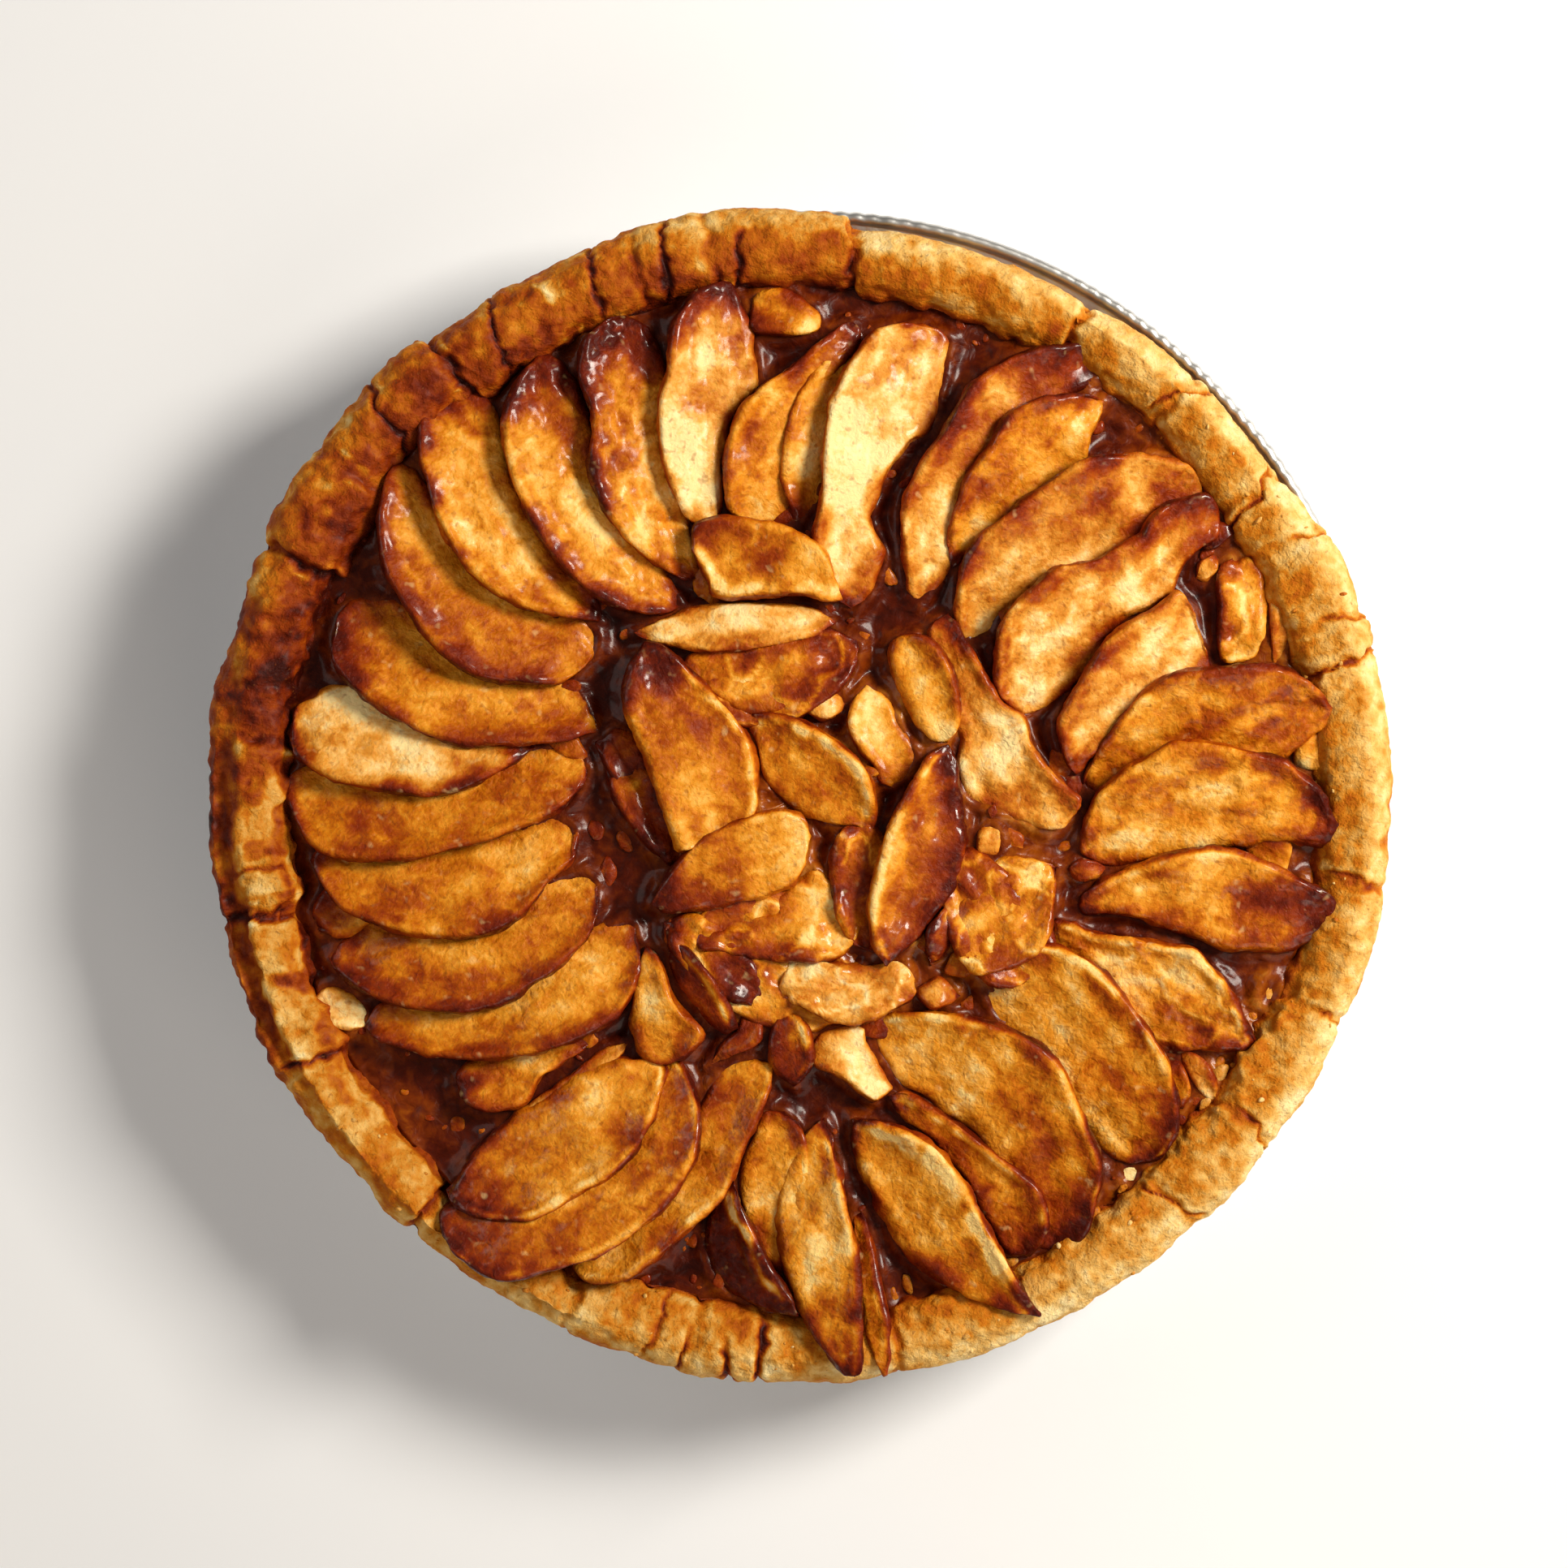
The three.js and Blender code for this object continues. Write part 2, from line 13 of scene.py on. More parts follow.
import bpy
import numpy as np
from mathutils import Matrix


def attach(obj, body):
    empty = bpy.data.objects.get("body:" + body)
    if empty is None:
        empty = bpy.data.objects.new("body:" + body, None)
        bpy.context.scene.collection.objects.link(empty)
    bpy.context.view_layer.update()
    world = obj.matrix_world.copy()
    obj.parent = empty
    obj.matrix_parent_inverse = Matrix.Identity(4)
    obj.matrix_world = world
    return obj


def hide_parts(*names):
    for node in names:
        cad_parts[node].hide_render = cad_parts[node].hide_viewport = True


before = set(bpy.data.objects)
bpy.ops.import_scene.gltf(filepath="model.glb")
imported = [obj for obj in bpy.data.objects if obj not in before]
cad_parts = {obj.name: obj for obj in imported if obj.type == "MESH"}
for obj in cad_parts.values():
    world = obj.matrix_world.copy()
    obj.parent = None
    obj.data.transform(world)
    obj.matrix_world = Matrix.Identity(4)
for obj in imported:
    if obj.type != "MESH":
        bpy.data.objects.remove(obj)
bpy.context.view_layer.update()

LOG = logging.getLogger("pie")
MM = 0.001
BODY = "root"
Array = np.ndarray
Colour = tuple[float, float, float]
Ramp = tuple[tuple[float, Colour], ...]
Path = tuple[tuple[float, float], ...]
# One size of unevenness: its height, the width of one lump, and the seed of its pattern.
Grain = tuple[float, float, int]


# ---- Small maths ----

# Large odd numbers that turn a cell of the noise and its seed into a number that looks random.
CELL_STIR = (73856093, 19349663, 83492791)
SEED_STIR = 2654435761
LAST_STIR = 1274126177


def lerp(low: Array | float, high: Array | float, share: Array | float) -> Array | float:
    """Goes from low to high as share goes from 0 to 1."""
    return low + (high - low) * share


def step(value: Array | float, start: float, end: float) -> Array:
    """Rises smoothly from 0 at start to 1 at end; end may be the lower one."""
    share = np.clip((value - start) / (end - start), 0.0, 1.0)
    return share * share * (3.0 - 2.0 * share)


def dent(value: Array, width: float) -> Array:
    """Is 1 where value is 0, and falls off smoothly within about width."""
    return np.exp(-((value / width) ** 2))


def lumps(points: Array, size: float, seed: int) -> Array:
    """Makes smooth noise over points.

    Args:
        points: Places in millimetres, with their three coordinates on the last axis.
        size: Width of one lump.
        seed: Picks one pattern.

    Returns:
        A number from -1 to 1 for each point.
    """
    scaled = points / size
    cell = np.floor(scaled).astype(np.int64)
    part = scaled - cell
    blend = part * part * (3.0 - 2.0 * part)
    total = np.zeros(points.shape[:-1])
    for corner in product((0, 1), repeat=3):
        key = cell + np.array(corner)
        mixed = np.bitwise_xor.reduce(key * np.array(CELL_STIR), axis=-1) ^ (seed * SEED_STIR)
        mixed = (mixed ^ (mixed >> 13)) * LAST_STIR
        value = ((mixed ^ (mixed >> 16)) & 0xFFFF) / 32767.5 - 1.0
        weight = np.prod(np.where(np.array(corner) == 1, blend, 1.0 - blend), axis=-1)
        total += value * weight
    return total


def uneven(points: Array, *grains: Grain) -> Array:
    """Adds up grains of unevenness over points."""
    return sum(height * lumps(points, width, seed) for height, width, seed in grains)


def rounded(points: Array, count: int, closed: bool) -> Array:
    """Draws a smooth curve through points.

    Args:
        points: Control points, along the first axis.
        count: How many points the curve gets between two control points.
        closed: Whether the curve comes back to its start.

    Returns:
        The curve's points along the first axis. An open curve ends on the last control point.
    """
    if closed:
        padded = np.concatenate([points[-1:], points, points[:2]])
    else:
        padded = np.concatenate([2 * points[:1] - points[1:2], points, 2 * points[-1:] - points[-2:-1]])
    shares = np.arange(count).reshape((-1,) + (1,) * (points.ndim - 1)) / count
    stretches = []
    for before, start, end, after in zip(padded, padded[1:], padded[2:], padded[3:]):
        bend = 2 * before - 5 * start + 4 * end - after
        turn = 3 * start - before - 3 * end + after
        stretches.append(start + 0.5 * shares * (end - before + shares * (bend + shares * turn)))
    if not closed:
        stretches.append(points[-1:])
    return np.concatenate(stretches)


def along_share(curve: Array) -> Array:
    """Gives each of a curve's points its share of the curve's length."""
    way = np.concatenate([[0.0], np.cumsum(np.linalg.norm(np.diff(curve, axis=0), axis=1))])
    return way / way[-1]


def edge_points(start: Sequence[float], between: Path, end: Sequence[float], shares: Array) -> Array:
    """Puts points on a smooth curve.

    Args:
        start: Where the curve starts.
        between: Places that it runs through.
        end: Where it ends.
        shares: The points' shares of its length.

    Returns:
        One point for each share.
    """
    curve = rounded(np.array([start, *between, end], float), 10, closed=False)
    places = along_share(curve)
    return np.stack([np.interp(shares, places, curve[:, k]) for k in (0, 1)], axis=1)


def circled(radii: Array, angles: Array, heights: Array) -> Array:
    """Places points by their radius, their angle from +Y in radians, and their height."""
    return np.stack(np.broadcast_arrays(radii * np.sin(angles), radii * np.cos(angles), heights), axis=-1)


def grid_normals(points: Array) -> Array:
    """Finds the unit normals of a grid of points whose second axis closes on itself."""
    wrapped = np.concatenate([points[:, -2:-1], points, points[:, 1:2]], axis=1)
    round_ways = wrapped[:, 2:] - wrapped[:, :-2]
    along_ways = np.gradient(points, axis=0)
    normals = np.cross(along_ways, round_ways)
    return normals / np.maximum(np.linalg.norm(normals, axis=-1, keepdims=True), 1e-9)


# ---- Meshes ----


def outward(points: Array, normals: Array) -> Array:
    """Turns grid normals round where they point into the closed skin that the grid makes."""
    centre = points.reshape(-1, 3).mean(axis=0)
    inwards = np.sum((points - centre) * normals) < 0
    return -normals if inwards else normals


def mesh_points(piece: bpy.types.Object) -> Array:
    """Reads the places of a piece's vertices."""
    flat = np.empty(len(piece.data.vertices) * 3, np.float32)
    piece.data.vertices.foreach_get("co", flat)
    return flat.reshape(-1, 3)


def carry(piece: bpy.types.Object, points: Array, fields: dict[str, Array]) -> None:
    """Moves a piece's vertices and gives them their fields.

    Args:
        piece: The piece.
        points: The vertices' places in metres.
        fields: One number for each vertex, by attribute name.
    """
    piece.data.vertices.foreach_set("co", points.astype(np.float32).ravel())
    for label, values in fields.items():
        layer = piece.data.attributes.new(label, "FLOAT", "POINT")
        layer.data.foreach_set("value", values.astype(np.float32))


def skin(name: str, points: Array, fields: dict[str, Array]) -> bpy.types.Object:
    """Rolls a plane grid up into a closed skin.

    Args:
        name: The piece's name.
        points: Places in millimetres, as rows from pole to pole, each row a ring whose last point is its
            first.
        fields: Numbers over the skin, by attribute name, in the same rows and columns.

    Returns:
        The piece, smooth, with its place in its mesh.
    """
    rows, columns = points.shape[:2]
    bpy.ops.object.select_all(action="DESELECT")
    bpy.ops.mesh.primitive_grid_add(x_subdivisions=columns - 1, y_subdivisions=rows - 1, size=1.0)
    piece = bpy.context.object
    piece.name = piece.data.name = name
    flat = mesh_points(piece)
    column = np.rint((flat[:, 0] + 0.5) * (columns - 1)).astype(int)
    row = np.rint((flat[:, 1] + 0.5) * (rows - 1)).astype(int)
    carry(piece, points[row, column] * MM, {label: values[row, column] for label, values in fields.items()})
    bpy.ops.object.mode_set(mode="EDIT")
    bpy.ops.mesh.select_all(action="SELECT")
    bpy.ops.mesh.remove_doubles(threshold=1e-6)
    bpy.ops.mesh.normals_make_consistent(inside=False)
    bpy.ops.object.mode_set(mode="OBJECT")
    bpy.ops.object.shade_smooth()
    return piece


def dress(piece: bpy.types.Object, material: bpy.types.Material, slot: str, *nodes: str) -> None:
    """Gives a piece its finish and body, and hides the CAD nodes that it stands for.

    Args:
        piece: The piece.
        material: Its finish.
        slot: Not used.
        nodes: The CAD nodes that it stands for.
    """
    piece.data.materials.clear()
    piece.data.materials.append(material)
    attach(piece, BODY)
    if nodes:
        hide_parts(*nodes)
    LOG.info("%s: %d faces", piece.name, len(piece.data.polygons))


# ---- Material nodes ----


class Wire:
    """One output of a material's node, with arithmetic that adds Math nodes."""

    def __init__(self, paint: "Paint", socket: bpy.types.NodeSocket) -> None:
        """Keeps the material and the socket."""
        self.paint = paint
        self.socket = socket

    def _math(self, operation: str, *values: "Wire | float") -> "Wire":
        """Adds one Math node over values."""
        return self.paint.node("ShaderNodeMath", {"operation": operation}, dict(enumerate(values)))

    def __add__(self, other: "Wire | float") -> "Wire":
        """Adds."""
        return self._math("ADD", self, other)

    __radd__ = __add__

    def __sub__(self, other: "Wire | float") -> "Wire":
        """Subtracts other."""
        return self._math("SUBTRACT", self, other)

    def __rsub__(self, other: "Wire | float") -> "Wire":
        """Subtracts from other."""
        return self._math("SUBTRACT", other, self)

    def __mul__(self, other: "Wire | float") -> "Wire":
        """Multiplies."""
        return self._math("MULTIPLY", self, other)

    __rmul__ = __mul__


class Paint:
    """One procedural material, and the short calls that its recipes are written in."""

    def __init__(self, name: str, **constants: float | Colour) -> None:
        """Makes an empty material.

        Args:
            name: The material's name.
            constants: Values of the shader's own sockets, with underscores for the spaces in their names.
        """
        self.material = bpy.data.materials.new(name)
        self.material.use_nodes = True
        self.tree = self.material.node_tree
        self.tree.nodes.clear()
        self.shader = self.tree.nodes.new("ShaderNodeBsdfPrincipled")
        output = self.tree.nodes.new("ShaderNodeOutputMaterial")
        self.tree.links.new(self.shader.outputs[0], output.inputs["Surface"])
        for label, value in constants.items():
            self.shader.inputs[label.replace("_", " ")].default_value = value

    def node(
        self, kind: str, settings: dict | None = None, inputs: dict | None = None, output: int | str = 0
    ) -> Wire:
        """Adds a node.

        Args:
            kind: The node's type.
            settings: Its properties. A ramp's stops are given as "stops".
            inputs: Values or wires, by the socket's name or number.
            output: The output that is handed back.

        Returns:
            The output's wire.
        """
        made = self.tree.nodes.new(kind)
        for label, value in (settings or {}).items():
            if label == "stops":
                self._set_stops(made.color_ramp, value)
            else:
                setattr(made, label, value)
        for label, value in (inputs or {}).items():
            if isinstance(value, Wire):
                self.tree.links.new(value.socket, made.inputs[label])
            else:
                made.inputs[label].default_value = value
        return Wire(self, made.outputs[output])

    @staticmethod
    def _set_stops(ramp: bpy.types.ColorRamp, stops: Ramp) -> None:
        """Puts stops on a ramp."""
        while len(ramp.elements) < len(stops):
            ramp.elements.new(1.0)
        for element, (place, colour) in zip(ramp.elements, stops):
            element.position = place
            element.color = (*colour, 1.0)

    def place(self) -> Wire:
        """Gives the place on the object."""
        return self.node("ShaderNodeTexCoord", output="Object")

    def field(self, label: str) -> Wire:
        """Reads a number that the mesh carries."""
        return self.node("ShaderNodeAttribute", {"attribute_name": label}, output="Fac")

    def mottle(self, size: float, detail: float = 2.0, twist: float = 0.0) -> Wire:
        """Makes noise over the object.

        Args:
            size: Width of a lump in millimetres.
            detail: How many finer layers it has.
            twist: How far its lumps are drawn out of shape.

        Returns:
            A wire from about -0.5 to 0.5.
        """
        noise = self.node(
            "ShaderNodeTexNoise",
            {"noise_dimensions": "3D"},
            {"Vector": self.place(), "Scale": 1.0 / (size * MM), "Detail": detail, "Distortion": twist},
        )
        return noise - 0.5

    def specks(self, size: float, share: float, soft: float = 0.06) -> Wire:
        """Makes a mask of small spots.

        Args:
            size: Distance between spots in millimetres.
            share: How much of the surface they cover, from 0 to 1.
            soft: How soft their edges are.

        Returns:
            A wire that is 1 on a spot.
        """
        edge = 0.22 - 0.34 * share
        inputs = {"Value": self.mottle(size, 1.0), "From Min": edge, "From Max": edge + soft}
        return self.node("ShaderNodeMapRange", {"interpolation_type": "SMOOTHSTEP"}, inputs)

    def ramp(self, value: Wire, stops: Ramp) -> Wire:
        """Turns a number into a colour."""
        return self.node("ShaderNodeValToRGB", {"stops": stops}, {"Fac": value})

    def mix(self, share: Wire | float, first: Wire | Colour, second: Wire | Colour) -> Wire:
        """Mixes two colours.

        Args:
            share: How much of the second one there is, from 0 to 1.
            first: The first colour.
            second: The second colour.

        Returns:
            The mixed colour.
        """
        colours = [c if isinstance(c, Wire) else (*c, 1.0) for c in (first, second)]
        inputs = {0: share, 6: colours[0], 7: colours[1]}
        return self.node("ShaderNodeMix", {"data_type": "RGBA"}, inputs, output=2)

    def bump(self, height: Wire, strength: float, distance: float, under: Wire | None = None) -> Wire:
        """Makes fine relief.

        Args:
            height: The relief.
            strength: How much of it is seen, from 0 to 1.
            distance: Its depth in millimetres.
            under: A coarser relief that it lies on, if there is one.

        Returns:
            The bent normal.
        """
        inputs = {"Height": height, "Strength": strength, "Distance": distance * MM}
        if under is not None:
            inputs["Normal"] = under
        return self.node("ShaderNodeBump", None, inputs)

    def feed(self, **wires: Wire) -> bpy.types.Material:
        """Links wires to the shader's sockets and hands the material back."""
        for label, wire in wires.items():
            self.tree.links.new(wire.socket, self.shader.inputs[label.replace("_", " ")])
        return self.material


def shade(red: int, green: int, blue: int) -> Colour:
    """Turns a colour as screens give it, from 0 to 255, into the renderer's linear one."""
    shares = np.array([red, green, blue]) / 255.0
    linear = np.where(shares <= 0.04045, shares / 12.92, ((shares + 0.055) / 1.055) ** 2.4)
    return tuple(float(value) for value in linear)


# ---- Finishes ----


class Tone(Enum):
    """The fruit's tones, each with its slot name."""

    PALE = "fruit_pale"
    GOLD = "fruit_gold"
    AMBER = "fruit_amber"
    DARK = "fruit_dark"


BURNT_FRUIT = (
    (0.84, shade(110, 28, 1)),
    (1.0, shade(76, 14, 1)),
)
PALE_FRUIT = (
    (0.0, shade(255, 224, 156)),
    (0.13, shade(250, 192, 106)),
    (0.26, shade(230, 156, 58)),
    (0.4, shade(202, 118, 24)),
    (0.54, shade(172, 78, 8)),
    (0.68, shade(142, 47, 1)),
    *BURNT_FRUIT,
)
WARM_FRUIT = (
    (0.0, shade(255, 214, 132)),
    (0.13, shade(248, 180, 80)),
    (0.26, shade(230, 150, 38)),
    (0.4, shade(204, 116, 12)),
    (0.54, shade(170, 78, 2)),
    (0.68, shade(140, 48, 1)),
    *BURNT_FRUIT,
)


@dataclass(frozen=True)
class BakedFruit:
    """Baked fruit under a thin glaze: pale gold to maroon as its baking field rises. That field also carries
    painted shade and painted highlights.
    """

    name: str
    stops: Ramp
    dark_speck: Colour = shade(134, 58, 8)
    pale_speck: Colour = shade(255, 220, 150)

    def material(self) -> bpy.types.Material:
        """Builds the material."""
        paint = Paint(
            self.name,
            Subsurface_Weight=0.1,
            Subsurface_Scale=0.002,
            Coat_Roughness=0.15,
            Specular_IOR_Level=0.11,
        )
        browning = paint.field("browning")
        mottled = browning + 0.64 * paint.mottle(4.2, 4.0, 0.7) + 0.28 * paint.mottle(1.2, 2.0, 0.6)
        colour = paint.ramp(mottled, self.stops)
        colour = paint.mix(paint.specks(1.5, 0.34, 0.14) * 0.4, colour, self.dark_speck)
        colour = paint.mix(paint.specks(2.2, 0.2, 0.2) * 0.3, colour, self.pale_speck)
        glaze = paint.field("glaze") * (0.7 + 4.6 * paint.mottle(1.3, 2.0))
        rough = 0.5 + 0.35 * paint.mottle(2.2)
        coarse = paint.bump(paint.mottle(1.7, 3.0, 0.8), 0.55, 0.9)
        fine = paint.bump(paint.mottle(0.7, 2.0), 0.5, 0.35, coarse)
        return paint.feed(Base_Color=colour, Roughness=rough, Coat_Weight=glaze, Normal=fine)


@dataclass(frozen=True)
class BakedPastry:
    """Baked shortcrust: cream to dark brown as its baking field rises, with a crumbly skin. That field also
    carries painted shade and painted highlights.
    """

    name: str = "baked pastry"
    stops: Ramp = (
        (0.0, shade(252, 226, 164)),
        (0.2, shade(234, 186, 104)),
        (0.36, shade(210, 142, 50)),
        (0.44, shade(200, 118, 20)),
        (0.52, shade(184, 97, 12)),
        (0.68, shade(150, 60, 5)),
        (0.84, shade(108, 31, 2)),
        (1.0, shade(56, 10, 2)),
    )
    dark_speck: Colour = shade(134, 74, 30)

    def material(self) -> bpy.types.Material:
        """Builds the material."""
        paint = Paint(
            self.name,
            Subsurface_Weight=0.05,
            Subsurface_Scale=0.002,
            Coat_Roughness=0.35,
            Specular_IOR_Level=0.08,
        )
        browning = paint.field("browning")
        blotches = 0.32 * paint.mottle(6.0, 4.0, 0.5) + 0.42 * paint.mottle(1.8, 4.0, 0.5)
        colour = paint.ramp(browning + blotches, self.stops)
        colour = paint.mix(paint.specks(0.9, 0.12) * 0.4, colour, self.dark_speck)
        rough = 0.75 - 0.3 * browning + 0.2 * paint.mottle(2.5)
        coarse = paint.bump(paint.mottle(1.5, 4.0, 0.4), 0.8, 0.9)
        fine = paint.bump(paint.mottle(0.45, 3.0), 0.6, 0.4, coarse)
        return paint.feed(
            Base_Color=colour, Roughness=rough, Coat_Weight=paint.field("glaze"), Normal=fine
        )


@dataclass(frozen=True)
class FruitJelly:
    """Dark glossy jelly with paler patches where its field of paler jelly and painted sheen rises."""

    name: str = "fruit jelly"
    stops: Ramp = (
        (0.1, shade(44, 6, 1)),
        (0.35, shade(80, 20, 1)),
        (0.55, shade(116, 44, 2)),
        (0.75, shade(156, 78, 8)),
        (1.0, shade(200, 134, 48)),
    )

    def material(self) -> bpy.types.Material:
        """Builds the material."""
        paint = Paint(
            self.name,
            Coat_Roughness=0.16,
            Subsurface_Weight=0.08,
            Subsurface_Scale=0.003,
            Coat_Weight=0.22,
            Specular_IOR_Level=0.1,
        )
        depth = 0.32 + 0.6 * paint.mottle(9.0, 3.0, 0.5) + 0.7 * paint.mottle(2.5, 3.0, 0.6)
        colour = paint.ramp(depth + paint.field("cloud"), self.stops)
        rough = 0.4 + 0.3 * paint.mottle(3.0)
        coarse = paint.bump(paint.mottle(3.0, 3.0, 0.6), 0.5, 1.2)
        return paint.feed(Base_Color=colour, Roughness=rough, Normal=coarse)


@dataclass(frozen=True)
class ThinFoil:
    """Bright thin foil with faint creases and a dull bloom."""

    name: str = "thin foil"
    stops: Ramp = ((0.2, shade(196, 196, 194)), (0.8, shade(232, 231, 228)))

    def material(self) -> bpy.types.Material:
        """Builds the material."""
        paint = Paint(self.name, Metallic=1.0)
        colour = paint.ramp(0.5 + paint.mottle(12.0, 3.0), self.stops)
        rough = 0.42 + 0.2 * paint.mottle(6.0, 4.0)
        creases = paint.bump(paint.mottle(5.0, 3.0, 1.5), 0.25, 0.5)
        fine = paint.bump(paint.mottle(0.6, 2.0), 0.12, 0.1, creases)
        return paint.feed(Base_Color=colour, Roughness=rough, Normal=fine)


# ---- Foil tin ----


@dataclass
class FoilTin:
    """The foil tin: flat base with a pressed ring, pleated wall, flange and curled rim."""

    centre: tuple[float, float] = (0.9, 1.3)
    sheet: float = 0.6
    base_radius: float = 86.0
    knee_inset: float = 2.0
    knee_height: float = 1.6
    wall_top: float = 103.5
    flange_height: float = 26.0
    rim_radius: float = 113.2
    bead: float = 1.15
    ring_insets: tuple[float, ...] = (26.0, 24.0, 20.0, 18.0)
    ring_lift: float = 0.7
    pleats: int = 96
    pleat_depth: float = 0.45
    crimps: int = 118
    crimp_depth: float = 0.22
    curl_sink: float = 0.12
    bearings: int = 960

    def profile(self) -> Array:
        """Gives the wall's section as radius and height, from under the middle, round the rim and back."""
        flat = self.base_radius - self.knee_inset
        bead_middle = np.array([self.rim_radius - self.bead, self.flange_height + self.bead - self.sheet])
        turns = np.radians(np.linspace(-90.0, 190.0, 13))
        curl = bead_middle + self.bead * np.stack([np.cos(turns), np.sin(turns)], axis=1)
        ring = [flat - inset for inset in self.ring_insets]
        under = [(0, 0), *zip(ring, (0, self.ring_lift, self.ring_lift, 0)), (flat, 0)]
        knee = (self.base_radius, self.knee_height)
        wall = np.linspace(knee, (self.wall_top, self.flange_height - self.sheet), 14)
        inner_flange = [(self.rim_radius - 2 * self.bead - 0.5, self.flange_height + 0.1)]
        inside = wall[::-1] + (-self.sheet, self.sheet)
        floor = [(radius, self.sheet) for radius in (flat - self.sheet, ring[-1], 0)]
        return np.concatenate([under, wall, curl, inner_flange, inside, floor])

    def build(self) -> bpy.types.Object:
        """Builds the tin."""
        profile = self.profile()
        angles = np.linspace(0.0, 2 * np.pi, self.bearings + 1)
        radius, height = profile[:, :1], profile[:, 1:]
        on_wall = step(height, 3.0, 9.0) * step(radius, self.wall_top + 1.0, self.wall_top - 3.0)
        pleat = self.pleat_depth * on_wall * np.sin(angles * self.pleats) ** 3
        dents = lumps(np.stack([np.cos(angles), np.sin(angles), 0 * angles], axis=-1), 0.35, 4)
        on_curl = step(radius, self.rim_radius - 3.4, self.rim_radius - 1.6)
        crimps = np.abs(np.sin(angles * self.crimps + 1.5 * dents))
        sunk = on_curl * (self.crimp_depth * (1 - crimps) * (1 + dents) + self.curl_sink)
        radii = radius + pleat - sunk - self.curl_sink * on_curl * (1 + dents)
        return skin("foil_tin", circled(radii, angles, height - sunk) + (*self.centre, 0.0), {})


# ---- Pastry ----


@dataclass(frozen=True)
class Fold:
    """One fold of the rolled rim.

    Attributes:
        start: Bearing where it starts.
        outer: Its outer radius.
        inner: Its inner radius.
        top: Its height.
        bake: How far its outer side is baked, from 0 to 1.
        roll_bake: How far its inner side is baked.
        deep: Whether a deep crease parts it from the fold before it.
        groove: Depth of the groove between its two sides.
    """

    start: float
    outer: float
    inner: float
    top: float
    bake: float
    roll_bake: float
    deep: bool = False
    groove: float = 0.0


@dataclass(frozen=True)
class Crack:
    """A crack across the rim, from one share of its skin to another (0 outside, 1 inside).

    Its depth is in millimetres, and its slant and width are in degrees.
    """

    bearing: float
    start: float
    end: float
    depth: float = 0.8
    slant: float = 0.0
    width: float = 0.28

    def opened(self, wander: Array, side: Array) -> Array:
        """Works out how deep the crack is at places on the rim.

        Args:
            wander: Their bearings, made to wander a little.
            side: Their shares of the rim's skin.

        Returns:
            The depths.
        """
        away = (wander - self.bearing + self.slant * (side - 0.5) + 180.0) % 360.0 - 180.0
        faded = 0.08
        across = step(side, self.start - faded, self.start + faded) * step(
            side, self.end + faded, self.end - faded
        )
        return self.depth * across * dent(away, self.width)


FOLDS = (
    Fold(5.7, 110.8, 99.5, 36.2, 0.30, 0.34, deep=True),
    Fold(30.5, 111.2, 101.0, 35.6, 0.24, 0.28, deep=True),
    Fold(43.4, 111.6, 100.5, 35.8, 0.24, 0.28),
    Fold(56.2, 111.6, 99.5, 36.2, 0.26, 0.30),
    Fold(62.5, 114.4, 100.0, 36.6, 0.26, 0.28),
    Fold(71.6, 115.4, 100.0, 36.8, 0.26, 0.28),
    Fold(76.2, 115.0, 101.5, 36.6, 0.24, 0.28),
    Fold(98.6, 114.4, 103.0, 36.2, 0.28, 0.30),
    Fold(112.4, 113.6, 101.0, 36.0, 0.22, 0.28),
    Fold(126.0, 113.2, 99.4, 35.6, 0.20, 0.26),
    Fold(137.2, 112.9, 99.4, 35.4, 0.20, 0.24),
    Fold(156.0, 112.9, 101.5, 35.4, 0.26, 0.28),
    Fold(170.0, 112.9, 101.0, 35.8, 0.34, 0.34),
    Fold(184.0, 113.1, 100.0, 36.0, 0.36, 0.32),
    Fold(190.8, 113.2, 99.4, 35.6, 0.36, 0.28),
    Fold(204.0, 112.4, 104.0, 34.4, 0.36, 0.34),
    Fold(222.0, 112.8, 102.5, 36.2, 0.40, 0.28, deep=True),
    Fold(241.6, 114.2, 102.0, 36.8, 0.70, 0.26, groove=2.2),
    Fold(257.8, 114.2, 99.4, 37.2, 0.80, 0.22, groove=2.8),
    Fold(276.0, 114.3, 101.5, 36.6, 0.72, 0.66, groove=0.8),
    Fold(295.3, 115.2, 99.5, 37.6, 0.56, 0.60, deep=True),
    Fold(306.0, 115.6, 102.0, 37.2, 0.52, 0.56),
    Fold(321.0, 113.8, 100.0, 36.8, 0.54, 0.54, deep=True),
    Fold(334.0, 114.0, 100.5, 36.6, 0.48, 0.52),
    Fold(343.0, 114.4, 100.5, 37.0, 0.46, 0.52),
    Fold(350.7, 114.8, 100.8, 37.0, 0.40, 0.52),
)

